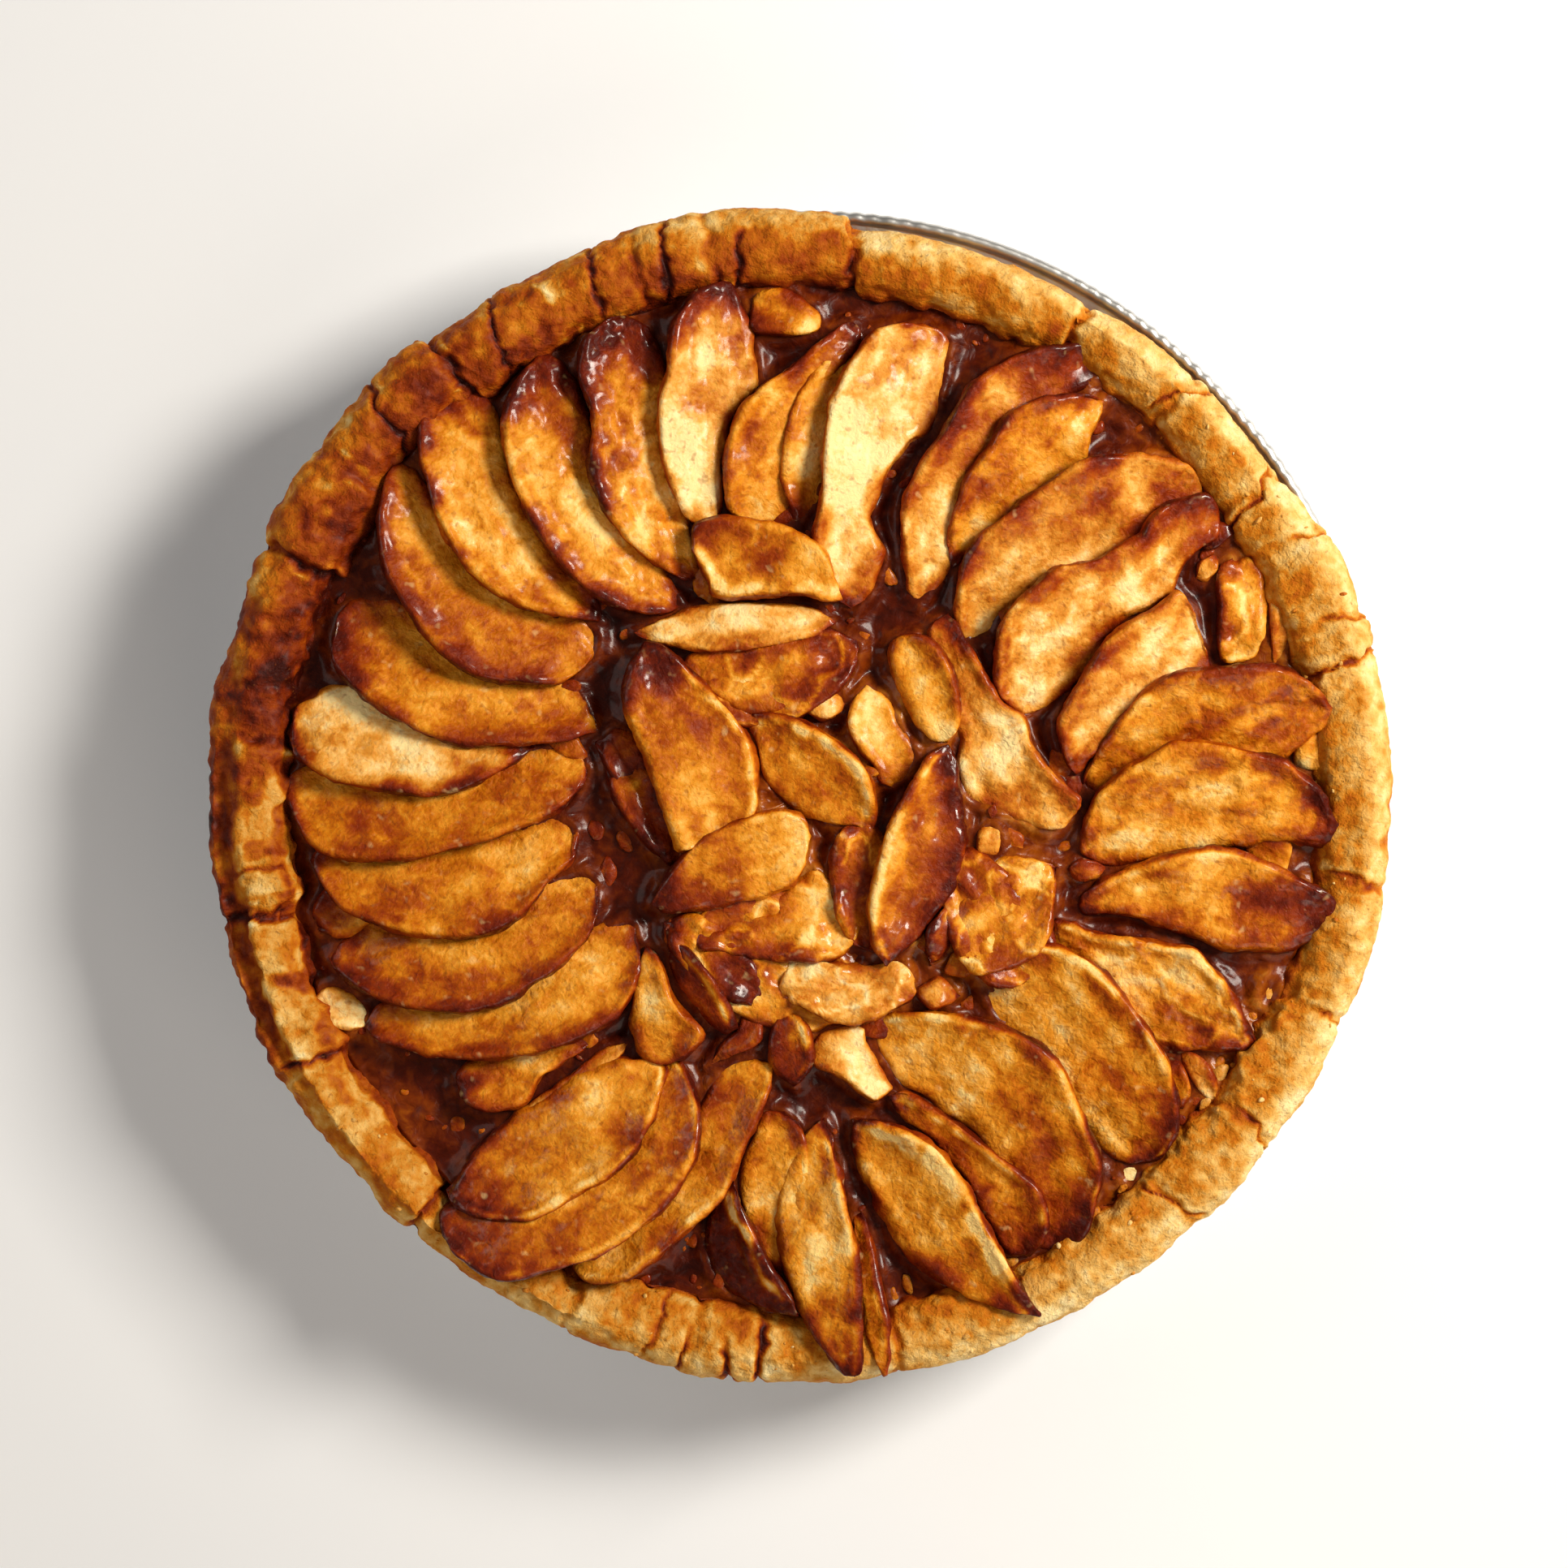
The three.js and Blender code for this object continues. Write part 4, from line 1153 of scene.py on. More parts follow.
# Later slices lie on earlier ones.
SLICES = (
    Slice("scrap_top", (-9.8, 93), (4.6, 91.3), -4, ((-9, 89.5), (-4, 88.8), (2, 89.2)),
          ((-8, 97.5), (-3.4, 98.8), (0, 97), (3.4, 94)), DARK, (0.62, 0.5, 0.12), lean=4, burnt=0),
    Slice("scrap_left", (-94.3, -41.5), (-83, -43.8), -4, ((-92, -44.2), (-87, -45)),
          ((-92.3, -36.5), (-88.4, -36.3), (-84.5, -39.5)),
          PALE, (0.2, 0.26, 0.08), lean=4, burnt=0, wrinkled=0.4, glaze=0.4),
    Slice("tucked_bottom", (-4, -92), (-3, -60.3), -8, ((0, -88), (2, -80), (2.5, -72), (1.5, -65)),
          ((-8, -88), (-11, -80), (-11.5, -72), (-9, -65), (-7.2, -60.5)), GOLD, (0.4, 0.34, 0.26), lean=8),
    Slice("tucked_left", (-66, -56), (-40.5, -47.3), -7,
          ((-64.5, -59), (-60.5, -61), (-56, -60.6), (-52.6, -59.3), (-50.2, -55), (-46, -51.5),
           (-42.5, -49.5)), ((-65.5, -52.5), (-60, -48.5), (-52, -46.5), (-45, -45.5)),
          AMBER, (0.6, 0.42, 0.22), lean=8, burnt=0.2),
    Slice("ring_01", (-83.8, -44), (-30.8, -28), -3,
          ((-81.5, -46.8), (-74.9, -49.2), (-65.1, -50.6), (-53.5, -50), (-43.8, -47.4), (-35.1, -43),
           (-31.2, -36)),
          ((-80, -40.5), (-70, -38.5), (-60, -37.5), (-50, -34), (-42, -27.5), (-36, -24.3), (-32.2, -24)),
          AMBER, (0.4, 0.3, 0.34), burnt=0.05, tucked=True, mottled=0.6, across=0.13),
    Slice("ring_02", (-91, -30.7), (-38.9, -19.5), -3,
          ((-89.9, -33.3), (-87.2, -35.7), (-83.6, -38), (-78.8, -39.9), (-73.4, -41.1), (-67.4, -41.9),
           (-61.4, -41.5), (-56, -39.7), (-51.8, -36.7), (-48.2, -34.6), (-44.6, -31.6), (-41, -28.3),
           (-39.3, -24.5)),
          ((-88, -27.6), (-83.6, -24.6), (-76, -22.5), (-66, -22), (-56, -20), (-50, -17), (-45.5, -14.6),
           (-41.6, -14.2), (-39.4, -16)),
          AMBER, (0.5, 0.36, 0.32), burnt=0.1, tucked=True, mottled=0.6, across=0.13),
    Slice("ring_03", (-94.6, -12), (-42.9, -9), -3,
          ((-92.3, -16.3), (-89.9, -20), (-87.2, -22.7), (-82.4, -24.3), (-78.2, -25.8), (-73.4, -27),
           (-68, -27.5), (-62.6, -27), (-57.8, -25.8), (-54.2, -23.6), (-50.6, -20), (-47.6, -15.8),
           (-44.3, -12.8)),
          ((-91, -8.5), (-84, -7), (-76, -6.5), (-66, -5.5), (-56, -3.5), (-50, -3.2), (-46.4, -4.2),
           (-43.6, -5.3)), AMBER, (0.42, 0.36, 0.34), burnt=0.06, across=0.13, tucked=True, mottled=0.6),
    Slice("ring_04", (-99.9, 1.5), (-40.7, 5.3), -3,
          ((-98.6, -1.5), (-97, -5), (-94.8, -8.6), (-92.2, -11), (-89, -12.1), (-84.2, -12.5),
           (-78.2, -12.4), (-72.2, -11.9), (-66.2, -10.2), (-60.2, -8.8), (-56.6, -7.3), (-52.4, -5.6),
           (-48.2, -3.8), (-45, -2), (-42.2, 1.3)),
          ((-97.7, 4.6), (-92, 5.8), (-84, 5.5), (-74, 4.5), (-64, 5), (-56, 8), (-50, 10.4), (-45, 10.3),
           (-41.8, 8)), AMBER, (0.38, 0.34, 0.46), burnt=0.08, across=0.13, tucked=True, mottled=0.6),
    Slice("ring_05", (-98.6, 12.5), (-51, 9.9), -8,
          ((-97.5, 9), (-95.6, 6.4), (-91.4, 4), (-87.8, 2.3), (-82.4, 1.3), (-77, 0.5), (-71, 0),
           (-65, 0.9), (-60.2, 3.4), (-55.4, 6.4)),
          ((-97.4, 15.5), (-94.4, 18.2), (-90.2, 19.9), (-86.4, 20.2), (-80, 19), (-72, 16.5), (-64, 14),
           (-56, 12)), PALE, (0.34, 0.17, 0.44), burnt=0.08, band=0.3, tucked=True, across=0.16),
    Slice("ring_06", (-90.3, 31), (-39.5, 13), -5,
          ((-89.8, 25.8), (-87.4, 22), (-83.8, 18.8), (-80.2, 16.4), (-75.4, 13.4), (-70, 11), (-63.8, 9.6),
           (-57.8, 9.6), (-50.6, 10), (-44.6, 10.6)),
          ((-88.3, 35.8), (-84, 38), (-79, 38), (-74, 35.5), (-67, 31), (-59, 27), (-50, 24.5), (-43, 21)),
          AMBER, (0.5, 0.36, 0.44), burnt=0.2, tucked=True, mottled=0.6, across=0.13),
    Slice("ring_07", (-77.6, 65), (-39.5, 27), -1,
          ((-79.9, 62.2), (-80.8, 57.4), (-81.6, 52.6), (-81, 47.8), (-79.5, 42.2), (-76.8, 37.4),
           (-73.2, 32), (-70, 28.2), (-65.8, 24.8), (-61.6, 22.6), (-56.8, 21.7), (-50.8, 21.4),
           (-45, 22.2)),
          ((-75.3, 63.6), (-73, 60), (-70, 54), (-66, 49), (-60, 43.5), (-54, 39.5), (-47, 36.5),
           (-40.5, 33.5), (-38.5, 31)),
          GOLD, (0.32, 0.4, 0.46), burnt=0, band=0.26, tucked=True, mottled=0.6, across=0.13),
    Slice("ring_08", (-70.5, 79.3), (-38.3, 34), -5,
          ((-72.9, 75.4), (-73.7, 71.2), (-73.5, 65.8), (-72, 59.8), (-70.2, 54.2), (-67.8, 49.2),
           (-64.8, 44.4), (-61.2, 40.8), (-56.8, 38), (-52, 35.7), (-46, 34.7)),
          ((-66, 79.5), (-61.5, 76.5), (-58.5, 70), (-57, 62), (-54, 55), (-49, 48), (-44, 42.5),
           (-40, 38.5)),
          GOLD, (0.46, 0.24, 0.34), burnt=0.16, across=-0.16, wrinkled=0.26, glaze=0.14, band=0.3,
          tucked=True),
    Slice("ring_09", (-49.5, 86), (-22.7, 37.3), -2,
          ((-53, 83), (-55.2, 79.5), (-56.8, 75.4), (-57.4, 70), (-56.8, 65), (-55, 59.2), (-53, 54.8),
           (-51, 50.4), (-48, 46.4), (-44.4, 42.6), (-41.2, 39.6), (-37, 37), (-32.8, 35.5), (-28.6, 35.1),
           (-25.2, 35.6)),
          ((-46.5, 83.5), (-43.5, 78), (-41.5, 71), (-40, 64), (-37, 57), (-32.5, 50.5), (-28.5, 45.5),
           (-26, 41.6), (-23.6, 39)),
          GOLD, (0.46, 0.26, 0.32), burnt=0.22, across=-0.1, wrinkled=0.24, glaze=0.14, band=0.36,
          tucked=True),
    Slice("ring_10", (-34.5, 93), (-19.4, 42.4), -4,
          ((-38.5, 91.5), (-42, 87.5), (-43.3, 82), (-41.8, 77.2), (-40.3, 73), (-40.2, 68.2), (-41, 64.6),
           (-40, 59.8), (-38.9, 56.6), (-36.6, 53), (-33.6, 49.4), (-30.4, 46.6), (-26.8, 43.9),
           (-22.8, 42.1)),
          ((-31, 91.5), (-28, 86), (-26.5, 78), (-25.5, 70), (-24.5, 62), (-23, 54), (-21.5, 48.5),
           (-19.8, 44.6)),
          GOLD, (0.54, 0.34, 0.12), burnt=0.26, across=0.04, wrinkled=0.32, glaze=0.16, band=0.36,
          tucked=True),
    Slice("ring_11", (-14, 100), (-18.2, 52.8), -7,
          ((-20.2, 97.4), (-24.4, 92), (-25.5, 87), (-26.1, 81), (-27.5, 76.2), (-27.6, 71.4), (-27, 66),
           (-25.8, 61.6), (-24, 57.4), (-21.6, 53.4)),
          ((-12.2, 98.3), (-9.7, 92.4), (-8.4, 87.6), (-7.6, 82.8), (-8, 79.4), (-11.6, 74.4),
           (-13.8, 69.6), (-14.8, 65), (-14.9, 59.4), (-15.3, 54)),
          PALE, (0.48, 0.16, 0.02), burnt=0.18, burnt_inside=0, band=0.24),
    Slice("ring_12", (10.5, 92), (-7.6, 52.2), -3,
          ((8, 91.5), (3.2, 87.4), (-1.6, 83.2), (-7, 79.8), (-11.2, 75.4), (-13.6, 70.4), (-14.7, 65.4),
           (-14.8, 60.4), (-13.9, 55)),
          ((10.5, 88.5), (6, 83), (1.5, 77), (-1, 70), (-1.8, 62), (-3, 55.5)),
          GOLD, (0.5, 0.36, 0.38), band=0.1, tucked=True),
    Slice("ring_13", (12.5, 90.5), (-0.6, 51.7), -4,
          ((8, 87.3), (4.2, 84), (-0.6, 78), (-3, 71.4), (-3.6, 65.4), (-3.9, 60.6), (-2.2, 56.4)),
          ((12.5, 88), (9, 83), (6.5, 77), (4.6, 70), (3.6, 63), (3.4, 58.4), (1.4, 54.4)),
          GOLD, (0.4, 0.2, 0.14), thickness=3.4, band=0.2, tucked=True),
    Slice("ring_14", (24, 91.5), (10.6, 36), -3,
          ((17, 91), (13.5, 89.4), (10.5, 85.8), (7, 79.8), (5.2, 75), (4.3, 69), (4, 63), (3.8, 57),
           (2.6, 51.6), (2.5, 46), (3.5, 41)),
          ((29.2, 89), (28.9, 85.2), (27.6, 78), (26, 71), (21.8, 68.5), (18.2, 64.5), (16, 60), (14, 54),
           (15.8, 50), (16.6, 47.2), (15.5, 42.6), (13, 38.3)),
          PALE, (0.22, 0, 0.24), burnt=0.07, wrinkled=0.08),
    Slice("ring_15", (58, 84.5), (23.2, 37.5), 1,
          ((55.3, 87.3), (50.5, 87.9), (45.7, 87), (40.3, 85.2), (36.1, 82.5), (32.5, 79.4), (29.4, 74.6),
           (26.9, 70.3), (24.6, 67), (21.9, 62.2), (19.6, 57.7), (19.2, 52.9), (19.7, 47.5), (20.3, 43.3),
           (21.2, 39.7)),
          ((57.5, 81.5), (51.7, 78.5), (45, 75), (41, 71), (38, 66), (35, 60), (32, 54), (30, 48),
           (27.6, 43.5), (25.6, 40)),
          PALE, (0.56, 0.3, 0.1), burnt=0.16, burnt_inside=0, band=0.34, tucked=True),
    Slice("ring_16", (58.7, 76.6), (29.2, 44.3), -5,
          ((55.3, 78), (50.5, 77.7), (45.7, 77.2), (41.3, 75.3), (38.3, 72.2), (35.9, 67.4), (32.3, 63),
           (30.4, 58.9), (28.9, 53.5), (28.3, 48.1)),
          ((57.8, 74), (55.4, 70.3), (54.8, 66.6), (52.3, 64.3), (47, 61), (42, 57), (37.5, 53),
           (33, 48.5)),
          AMBER, (0.48, 0.36, 0.3), burnt=0, across=0.1, wrinkled=0.24, glaze=0.3, tucked=True),
    Slice("ring_17", (78, 61), (33.5, 29.5), 0,
          ((75.3, 64.5), (71, 65.5), (66.1, 66.4), (61.3, 66.4), (56.5, 66.1), (52.7, 64.6), (49.1, 62.1),
           (44.9, 59.1), (40.7, 56.1), (37, 53.1), (33.4, 49.5), (31, 45.1), (30, 40.3), (29.9, 35.5),
           (30.3, 31.8)),
          ((77.4, 58.6), (73.3, 57), (69, 55), (66.5, 52.5), (63, 49), (57.7, 46), (53, 43.5), (47, 40),
           (42, 36), (38, 31.5)), PALE, (0.48, 0.4, 0.34), burnt=0, burnt_inside=0, band=0.26, tucked=True),
    Slice("ring_18", (81.2, 54), (42.5, 15.8), -4,
          ((80.4, 57), (78.2, 59), (75, 58.3), (71, 57.2), (69.1, 56), (66.9, 53.4), (65.6, 50.9),
           (61.3, 49), (57.5, 46.6), (53.9, 45.4), (49.7, 44.8), (46, 42.1), (42.4, 39), (39.3, 35.6),
           (37.6, 30.7), (37.2, 26.5), (37.5, 21.4), (39.5, 18)),
          ((80.6, 51.1), (77, 49.2), (73.5, 46.2), (71, 41.5), (67, 38.6), (62, 36.5), (59.5, 34),
           (57, 29.5), (54, 25), (51, 21.5), (46.5, 17.5)),
          PALE, (0.46, 0.24, 0.18), burnt=0.05, burnt_inside=0, wrinkled=0.28, band=0.26, tucked=True),
    Slice("ring_19", (76.5, 33), (53.4, 4.6), -7,
          ((75, 37.5), (73.2, 40.2), (71.5, 40.2), (69.9, 38.3), (65.1, 35.3), (60.9, 32.3), (57.7, 29.9),
           (55.2, 25.5), (52.2, 20.7), (50.4, 17.1), (49.5, 14.1), (50.1, 9.9), (51.6, 6.3)),
          ((78.2, 29.5), (79.2, 26), (76, 23), (71, 21.5), (66.5, 18), (62.5, 14), (58.5, 10.5), (55, 7.5)),
          PALE, (0.3, 0.2, 0.22), burnt=0, burnt_inside=0, band=0.3, tucked=True),
    Slice("block_right", (85, 47.3), (85, 26), -4.5,
          ((81.5, 45), (80.2, 41.5), (80.8, 36), (80.4, 31), (81.3, 26.8)),
          ((88.9, 45.3), (90.5, 40), (90, 33), (89, 27.5)),
          GOLD, (0.2, 0.3, 0.2), lean=2, burnt=0, wrinkled=0.5),
    Slice("ring_20", (102.8, 17), (54.7, 2), -4,
          ((100.5, 20.3), (96.9, 23.3), (92.7, 25.2), (86.7, 26.1), (80.7, 25.5), (74.7, 24.9),
           (69.7, 23.4), (65.5, 20.4), (62.5, 16.8), (60, 13.2), (57.6, 10), (55.5, 5.8)),
          ((101.8, 15.2), (96.9, 12), (92.7, 9.1), (86, 7.5), (78, 8.5), (70, 8), (63, 4.5), (58, 0.5)),
          GOLD, (0.36, 0.33, 0.43), rise=3, burnt=0, band=0.14, tucked=True, wrinkled=0.22),
    Slice("ring_21", (104.8, -6.5), (57, -12.5), -1,
          ((101.9, -1.5), (99.5, 2.7), (95.9, 5.3), (93.3, 7.7), (89.1, 8.7), (84.9, 9.6), (80.1, 10.8),
           (74.7, 11.4), (70.3, 10.8), (66.7, 8.4), (63.1, 6.6), (60, 4.1), (57, 1.6), (55.1, -2.7),
           (54.4, -6.9), (54.8, -10.5)),
          ((101, -8.2), (96.9, -7.4), (90.3, -6.6), (84.9, -7.4), (80.1, -7.8), (74.7, -8.7), (69.3, -9.9),
           (64.5, -11.2), (60.3, -12.6)),
          AMBER, (0.6, 0.26, 0.2), rise=3, burnt=0.14, burnt_inside=0, band=0.34, across=0.16, tucked=True,
          wrinkled=0.24),
    Slice("ring_22", (103.8, -21), (53.8, -20.3), -7,
          ((102.3, -18.7), (98.7, -16.3), (94.5, -14.2), (90.3, -12.1), (84.9, -10), (80.1, -9.1),
           (75.1, -9.7), (70.3, -10.9), (65.5, -12.4), (60.7, -14.2), (57.1, -16.3), (54.7, -18.2)),
          ((102.5, -25), (97.5, -28.1), (92.7, -29.7), (87.3, -29.7), (81.3, -29.4), (76.5, -27.6),
           (71.7, -25.8), (66.9, -24), (62.7, -22.8), (58.5, -22.8), (54.9, -22.6)),
          AMBER, (0.62, 0.32, 0.3), rise=3, lean=10, burnt=0.18, ridge=0.12, glaze=0.35),
    Slice("ring_23", (88.5, -48), (49.5, -23.2), -7,
          ((86, -42.5), (83.6, -37.3), (81.2, -34), (78.8, -31.2), (76.2, -28.8), (72.6, -28.1),
           (67.8, -27.2), (61.8, -26.3), (57, -25.7), (53.4, -23.9)),
          ((84, -48), (78, -47.5), (72, -48), (67, -46), (61, -41), (55, -35), (50, -29)),
          GOLD, (0.46, 0.28, 0.4), burnt=0.1, ridge=0.25, wrinkled=0.34, glaze=0.4, tucked=True),
    Slice("ring_24", (68, -70.4), (34, -31.5), -3,
          ((70.6, -69), (73.2, -64), (73.5, -59.9), (72.6, -55.1), (71.1, -50.1), (68.7, -45.9),
           (65.7, -41.7), (62.7, -37.5), (59.7, -33.9), (56, -31.1), (52.3, -29), (48.6, -27.8),
           (42, -27.5)),
          ((63.8, -70), (60.5, -68), (57.5, -64), (53, -58), (47, -51), (41, -45.5), (36.5, -41)),
          GOLD, (0.46, 0.28, 0.2), ridge=0.42, across=0.2, burnt=0.1, tucked=True),
    Slice("ring_25", (52.5, -86.3), (14.3, -44.5), -3,
          ((55, -84.6), (56.8, -80.9), (57.8, -76.7), (58.7, -72.5), (58, -68.1), (56.2, -64),
           (54.4, -59.7), (52.6, -55.5), (50.8, -51.3), (48.2, -48.3), (44.5, -45.8), (40.3, -44),
           (33.7, -41.9), (26.6, -41.1), (20.6, -40.9), (16.4, -41.9)),
          ((46, -87), (41, -82), (38, -75), (36, -69), (33.8, -64.9), (30.2, -62.2), (24.8, -58.6),
           (19.4, -55.6), (16.4, -51.4), (15, -48)),
          GOLD, (0.64, 0.38, 0.1), burnt=0.14, burnt_inside=0, ridge=0.3, across=0.1),
    Slice("ring_26", (44.5, -88.8), (17, -57.5), -6,
          ((47.5, -85), (48.3, -80), (46.6, -75), (42.5, -71.5), (38, -68), (34, -65), (30.2, -62.2),
           (24.8, -58.8), (20.5, -56.6)), ((40, -88), (35, -81), (31, -73), (26, -66.5), (20, -62)),
          AMBER, (0.62, 0.38, 0.16), burnt=0.14, ridge=0.3),
    Slice("ring_27", (46.1, -99.3), (10.3, -62), -9,
          ((44.2, -96.2), (41.2, -91.2), (37.6, -84), (34, -77.4), (31, -72), (26.8, -67.1), (21.9, -64.1),
           (15.9, -62.2)),
          ((41, -99.2), (33.8, -97.1), (27.2, -93.5), (21.5, -89.3), (17.3, -83.8), (14.3, -77.7),
           (11.9, -72.3), (10, -67.4)),
          GOLD, (0.56, 0.34, 0.2), rise=4, ridge=0.5, ridge_width=2.2, burnt=0.14),
    Slice("ring_28", (16.4, -110.8), (11, -78.5), -4,
          ((17.5, -107.6), (17.6, -101.6), (16.1, -94.4), (14.9, -88.3), (13.1, -81.6)),
          ((14, -108), (12.5, -101), (11.3, -94), (10.5, -87), (10, -82)),
          GOLD, (0.34, 0.34, 0.3), rise=6, lean=6, ridge=0.3, burnt=0),
    Slice("ring_29", (10.5, -111), (4.5, -61.8), -11,
          ((12.2, -109.5), (12.3, -104), (12, -98.6), (11.9, -92.6), (11.3, -86.6), (10.3, -80.6),
           (8.8, -74.6), (7.6, -69.6), (6.3, -65)),
          ((8, -110.5), (4.6, -106.6), (1.2, -101.8), (-1.2, -96.3), (-3, -91), (-4.5, -85.4), (-4.8, -80),
           (-3.6, -74.6), (-1.8, -69.7), (1.2, -64.6)),
          GOLD, (0.46, 0.24, 0.4), rise=6, burnt=0.14, ridge=0.25, across=0.06),
    Slice("ring_30", (-0.2, -99.6), (-12.6, -73.6), -9,
          ((-1.2, -96.4), (-4.6, -90.4), (-8, -84), (-10.4, -79)),
          ((-4.6, -99.4), (-10.6, -97.5), (-16, -94), (-18.5, -88), (-18, -82), (-15.5, -77)),
          DARK, (0.86, 0.8, 0.74), lean=34, ridge=0.95, ridge_width=1.9, glaze=0.4),
    Slice("ring_31", (-44.3, -90), (-5.2, -51), -7,
          ((-42, -93), (-38.4, -93.8), (-33.6, -93.2), (-30, -90.8), (-25.6, -87.6), (-21.4, -83.5),
           (-16.5, -79.5), (-13.8, -76.8), (-11.8, -71.5), (-9.6, -66.5), (-7, -61), (-5.2, -55.5)),
          ((-42.5, -86), (-36, -82.5), (-30, -77), (-25, -71), (-21, -64), (-18.5, -57), (-14.5, -52.2),
           (-9.5, -50.2)),
          AMBER, (0.3, 0.38, 0.4), ridge=0.2, wrinkled=0.1, burnt=0, band=0.1, mottled=0.7),
    Slice("ring_32", (-68.5, -84), (-25, -49.5), -1,
          ((-66, -88), (-63, -90.2), (-59.4, -92.3), (-55.8, -92.9), (-52.8, -92.4), (-48.6, -91.1),
           (-42, -89.5), (-37.2, -87.7), (-32.2, -84.7), (-27.4, -80.5), (-23.2, -75.7), (-20, -70.8),
           (-18.7, -67), (-18.6, -61), (-20, -56), (-22.5, -51.5)),
          ((-69, -79.5), (-63, -76), (-56, -72), (-48, -67), (-40, -61), (-33, -55), (-28, -50.5)),
          AMBER, (0.62, 0.36, 0.38), rise=5, burnt=0.16, ridge=0.22, glaze=0.4, across=0.08, mottled=0.7),
    Slice("ring_33", (-68, -75.5), (-25.8, -51.3), -6,
          ((-66.8, -78), (-63.6, -80.5), (-57.6, -81.7), (-51.6, -81.7), (-46.6, -79.3), (-41.8, -76.3),
           (-37, -73.9), (-33.4, -70.9), (-30.4, -67.2), (-28, -62.3), (-26.3, -56.8), (-25.4, -53)),
          ((-65, -72.2), (-62.4, -67.4), (-58.8, -64.3), (-54.6, -60.7), (-50, -58), (-45, -54.6),
           (-40.5, -51.6), (-35, -49.8), (-30, -50.2)),
          AMBER, (0.6, 0.36, 0.34), lift=1.5, burnt=0.14, glaze=0.4, ridge=0.36, across=0.08, mottled=0.7),
    Slice("heap_01", (-39, 10.5), (-28.5, 3), -4.5, ((-37, 5), (-34, 0)), ((-35, 13.3), (-30, 11)),
          DARK, (0.7, 0.78, 0.78), lean=4),
    Slice("heap_02", (-20, 26.5), (3.5, 24), -6, ((-18, 21), (-12, 16.5), (-6, 15.3), (0, 17), (3, 20)),
          ((-16, 29.5), (-8, 30), (-1, 28.5)),
          AMBER, (0.55, 0.46, 0.7), lean=6, wrinkled=0.3, glaze=0.5, mottled=0.8),
    Slice("heap_03", (-31.8, 31.8), (6.9, 33.7), -4,
          ((-28, 29.7), (-23.2, 29), (-19.6, 27.9), (-14.8, 27.5), (-7.6, 28.5), (-1.6, 29.7), (3.2, 31)),
          ((-26.2, 34.6), (-20.2, 36.7), (-12.4, 37.6), (-4, 37.3), (0.8, 37.5), (4.4, 36)),
          PALE, (0.24, 0.1, 0.06), lean=8, lift=1.5, burnt=0.05, burnt_inside=0, across=0.1),
    Slice("heap_04", (-20.8, 49), (8.3, 38), 7,
          ((-19.8, 45.5), (-17.6, 41.5), (-16.9, 38.8), (-12.4, 37.8), (-6.4, 38.4), (0.8, 38.7),
           (4.6, 37.6)),
          ((-20, 52.8), (-14.8, 54), (-7.6, 53.5), (-2, 52), (1.5, 50.4), (4, 48.6), (6.2, 45),
           (7.4, 41.4)),
          AMBER, (0.58, 0.46, 0.36), lean=-8, lift=4, burnt=0.05, band=0.08, wrinkled=0.1, glaze=0.3,
          ridge=0.42, ridge_width=2.4, mottled=0.7),
    Slice("heap_05", (13, 21.8), (18.5, 1.8), -5,
          ((9.9, 18.6), (9.1, 13.6), (11, 9.2), (14, 5.6), (15.9, 2.8)),
          ((17.3, 19.2), (19.8, 14.2), (22.8, 9.2), (22, 5.2)),
          GOLD, (0.14, 0.2, 0.4), lean=5, lift=0.4, burnt=0),
    Slice("heap_06", (52.5, -4), (28.5, 35.5), -12,
          ((54.3, -0.2), (52.5, 1.8), (50.1, 4.2), (47.3, 7.2), (45, 11.2), (43.7, 15.6), (39.5, 18.8),
           (37.1, 22.4), (34.7, 26.5), (32.3, 30.8), (30.5, 33.8)),
          ((50, -6.2), (45.3, -5.6), (40.5, -4.1), (35.7, -2.3), (32, -0.3), (30.6, 3.5), (30.3, 7.1),
           (30.9, 11.3), (28.5, 15), (26, 20), (24.6, 24.4), (24, 29.2), (25.5, 33.5)),
          PALE, (0.16, 0.22, 0.6), lean=6, lift=1, burnt=0, burnt_inside=0.14, wrinkled=0.24),
    Slice("heap_07", (28.5, 10.5), (19.5, 31.5), -5.5, ((31, 14), (31, 20), (29, 26), (25, 31)),
          ((25.3, 10.8), (22.9, 13.4), (20.5, 17.2), (18.7, 21.4), (17.2, 25.6), (17.2, 29.6)),
          GOLD, (0.1, 0.2, 0.36), lean=10, lift=2, burnt=0),
    Slice("heap_08", (13.2, -8.8), (-10.3, 15.4), -6,
          ((14.2, -6.4), (14.9, -1), (13.7, 4.4), (11.2, 8.2), (7.5, 11.3), (3.3, 13.7), (-1.5, 15.9),
           (-6, 16.4)),
          ((11.4, -5.6), (6.8, -5.5), (2, -4.3), (-1.7, -1.9), (-4.2, 0), (-7.3, 3.8), (-8.6, 9.8)),
          AMBER, (0.36, 0.38, 0.4), lean=14, lift=0.8, ridge=0.46, ridge_width=1.6, burnt=0, band=0.1,
          across=0.1, mottled=0.7),
    Slice("heap_09", (-17, -8), (-29.5, 29.8), 14,
          ((-10, -5), (-7.5, -1.6), (-7.6, 2.6), (-7.9, 7.4), (-9.1, 11.8), (-12.1, 16), (-15.7, 19.7),
           (-20, 24.2), (-23.5, 27.5), (-26.5, 29.5)),
          ((-22.8, -10.4), (-24.6, -7), (-27, -1.6), (-28.8, 3.8), (-30.6, 9.8), (-33, 14.6), (-33.9, 18.8),
           (-33.6, 23), (-31.8, 27)),
          AMBER, (0.3, 0.3, 0.68), lean=-10, lift=2.6, burnt=0, burnt_inside=0.24, ridge=0.3, band=0.08,
          mottled=0.7),
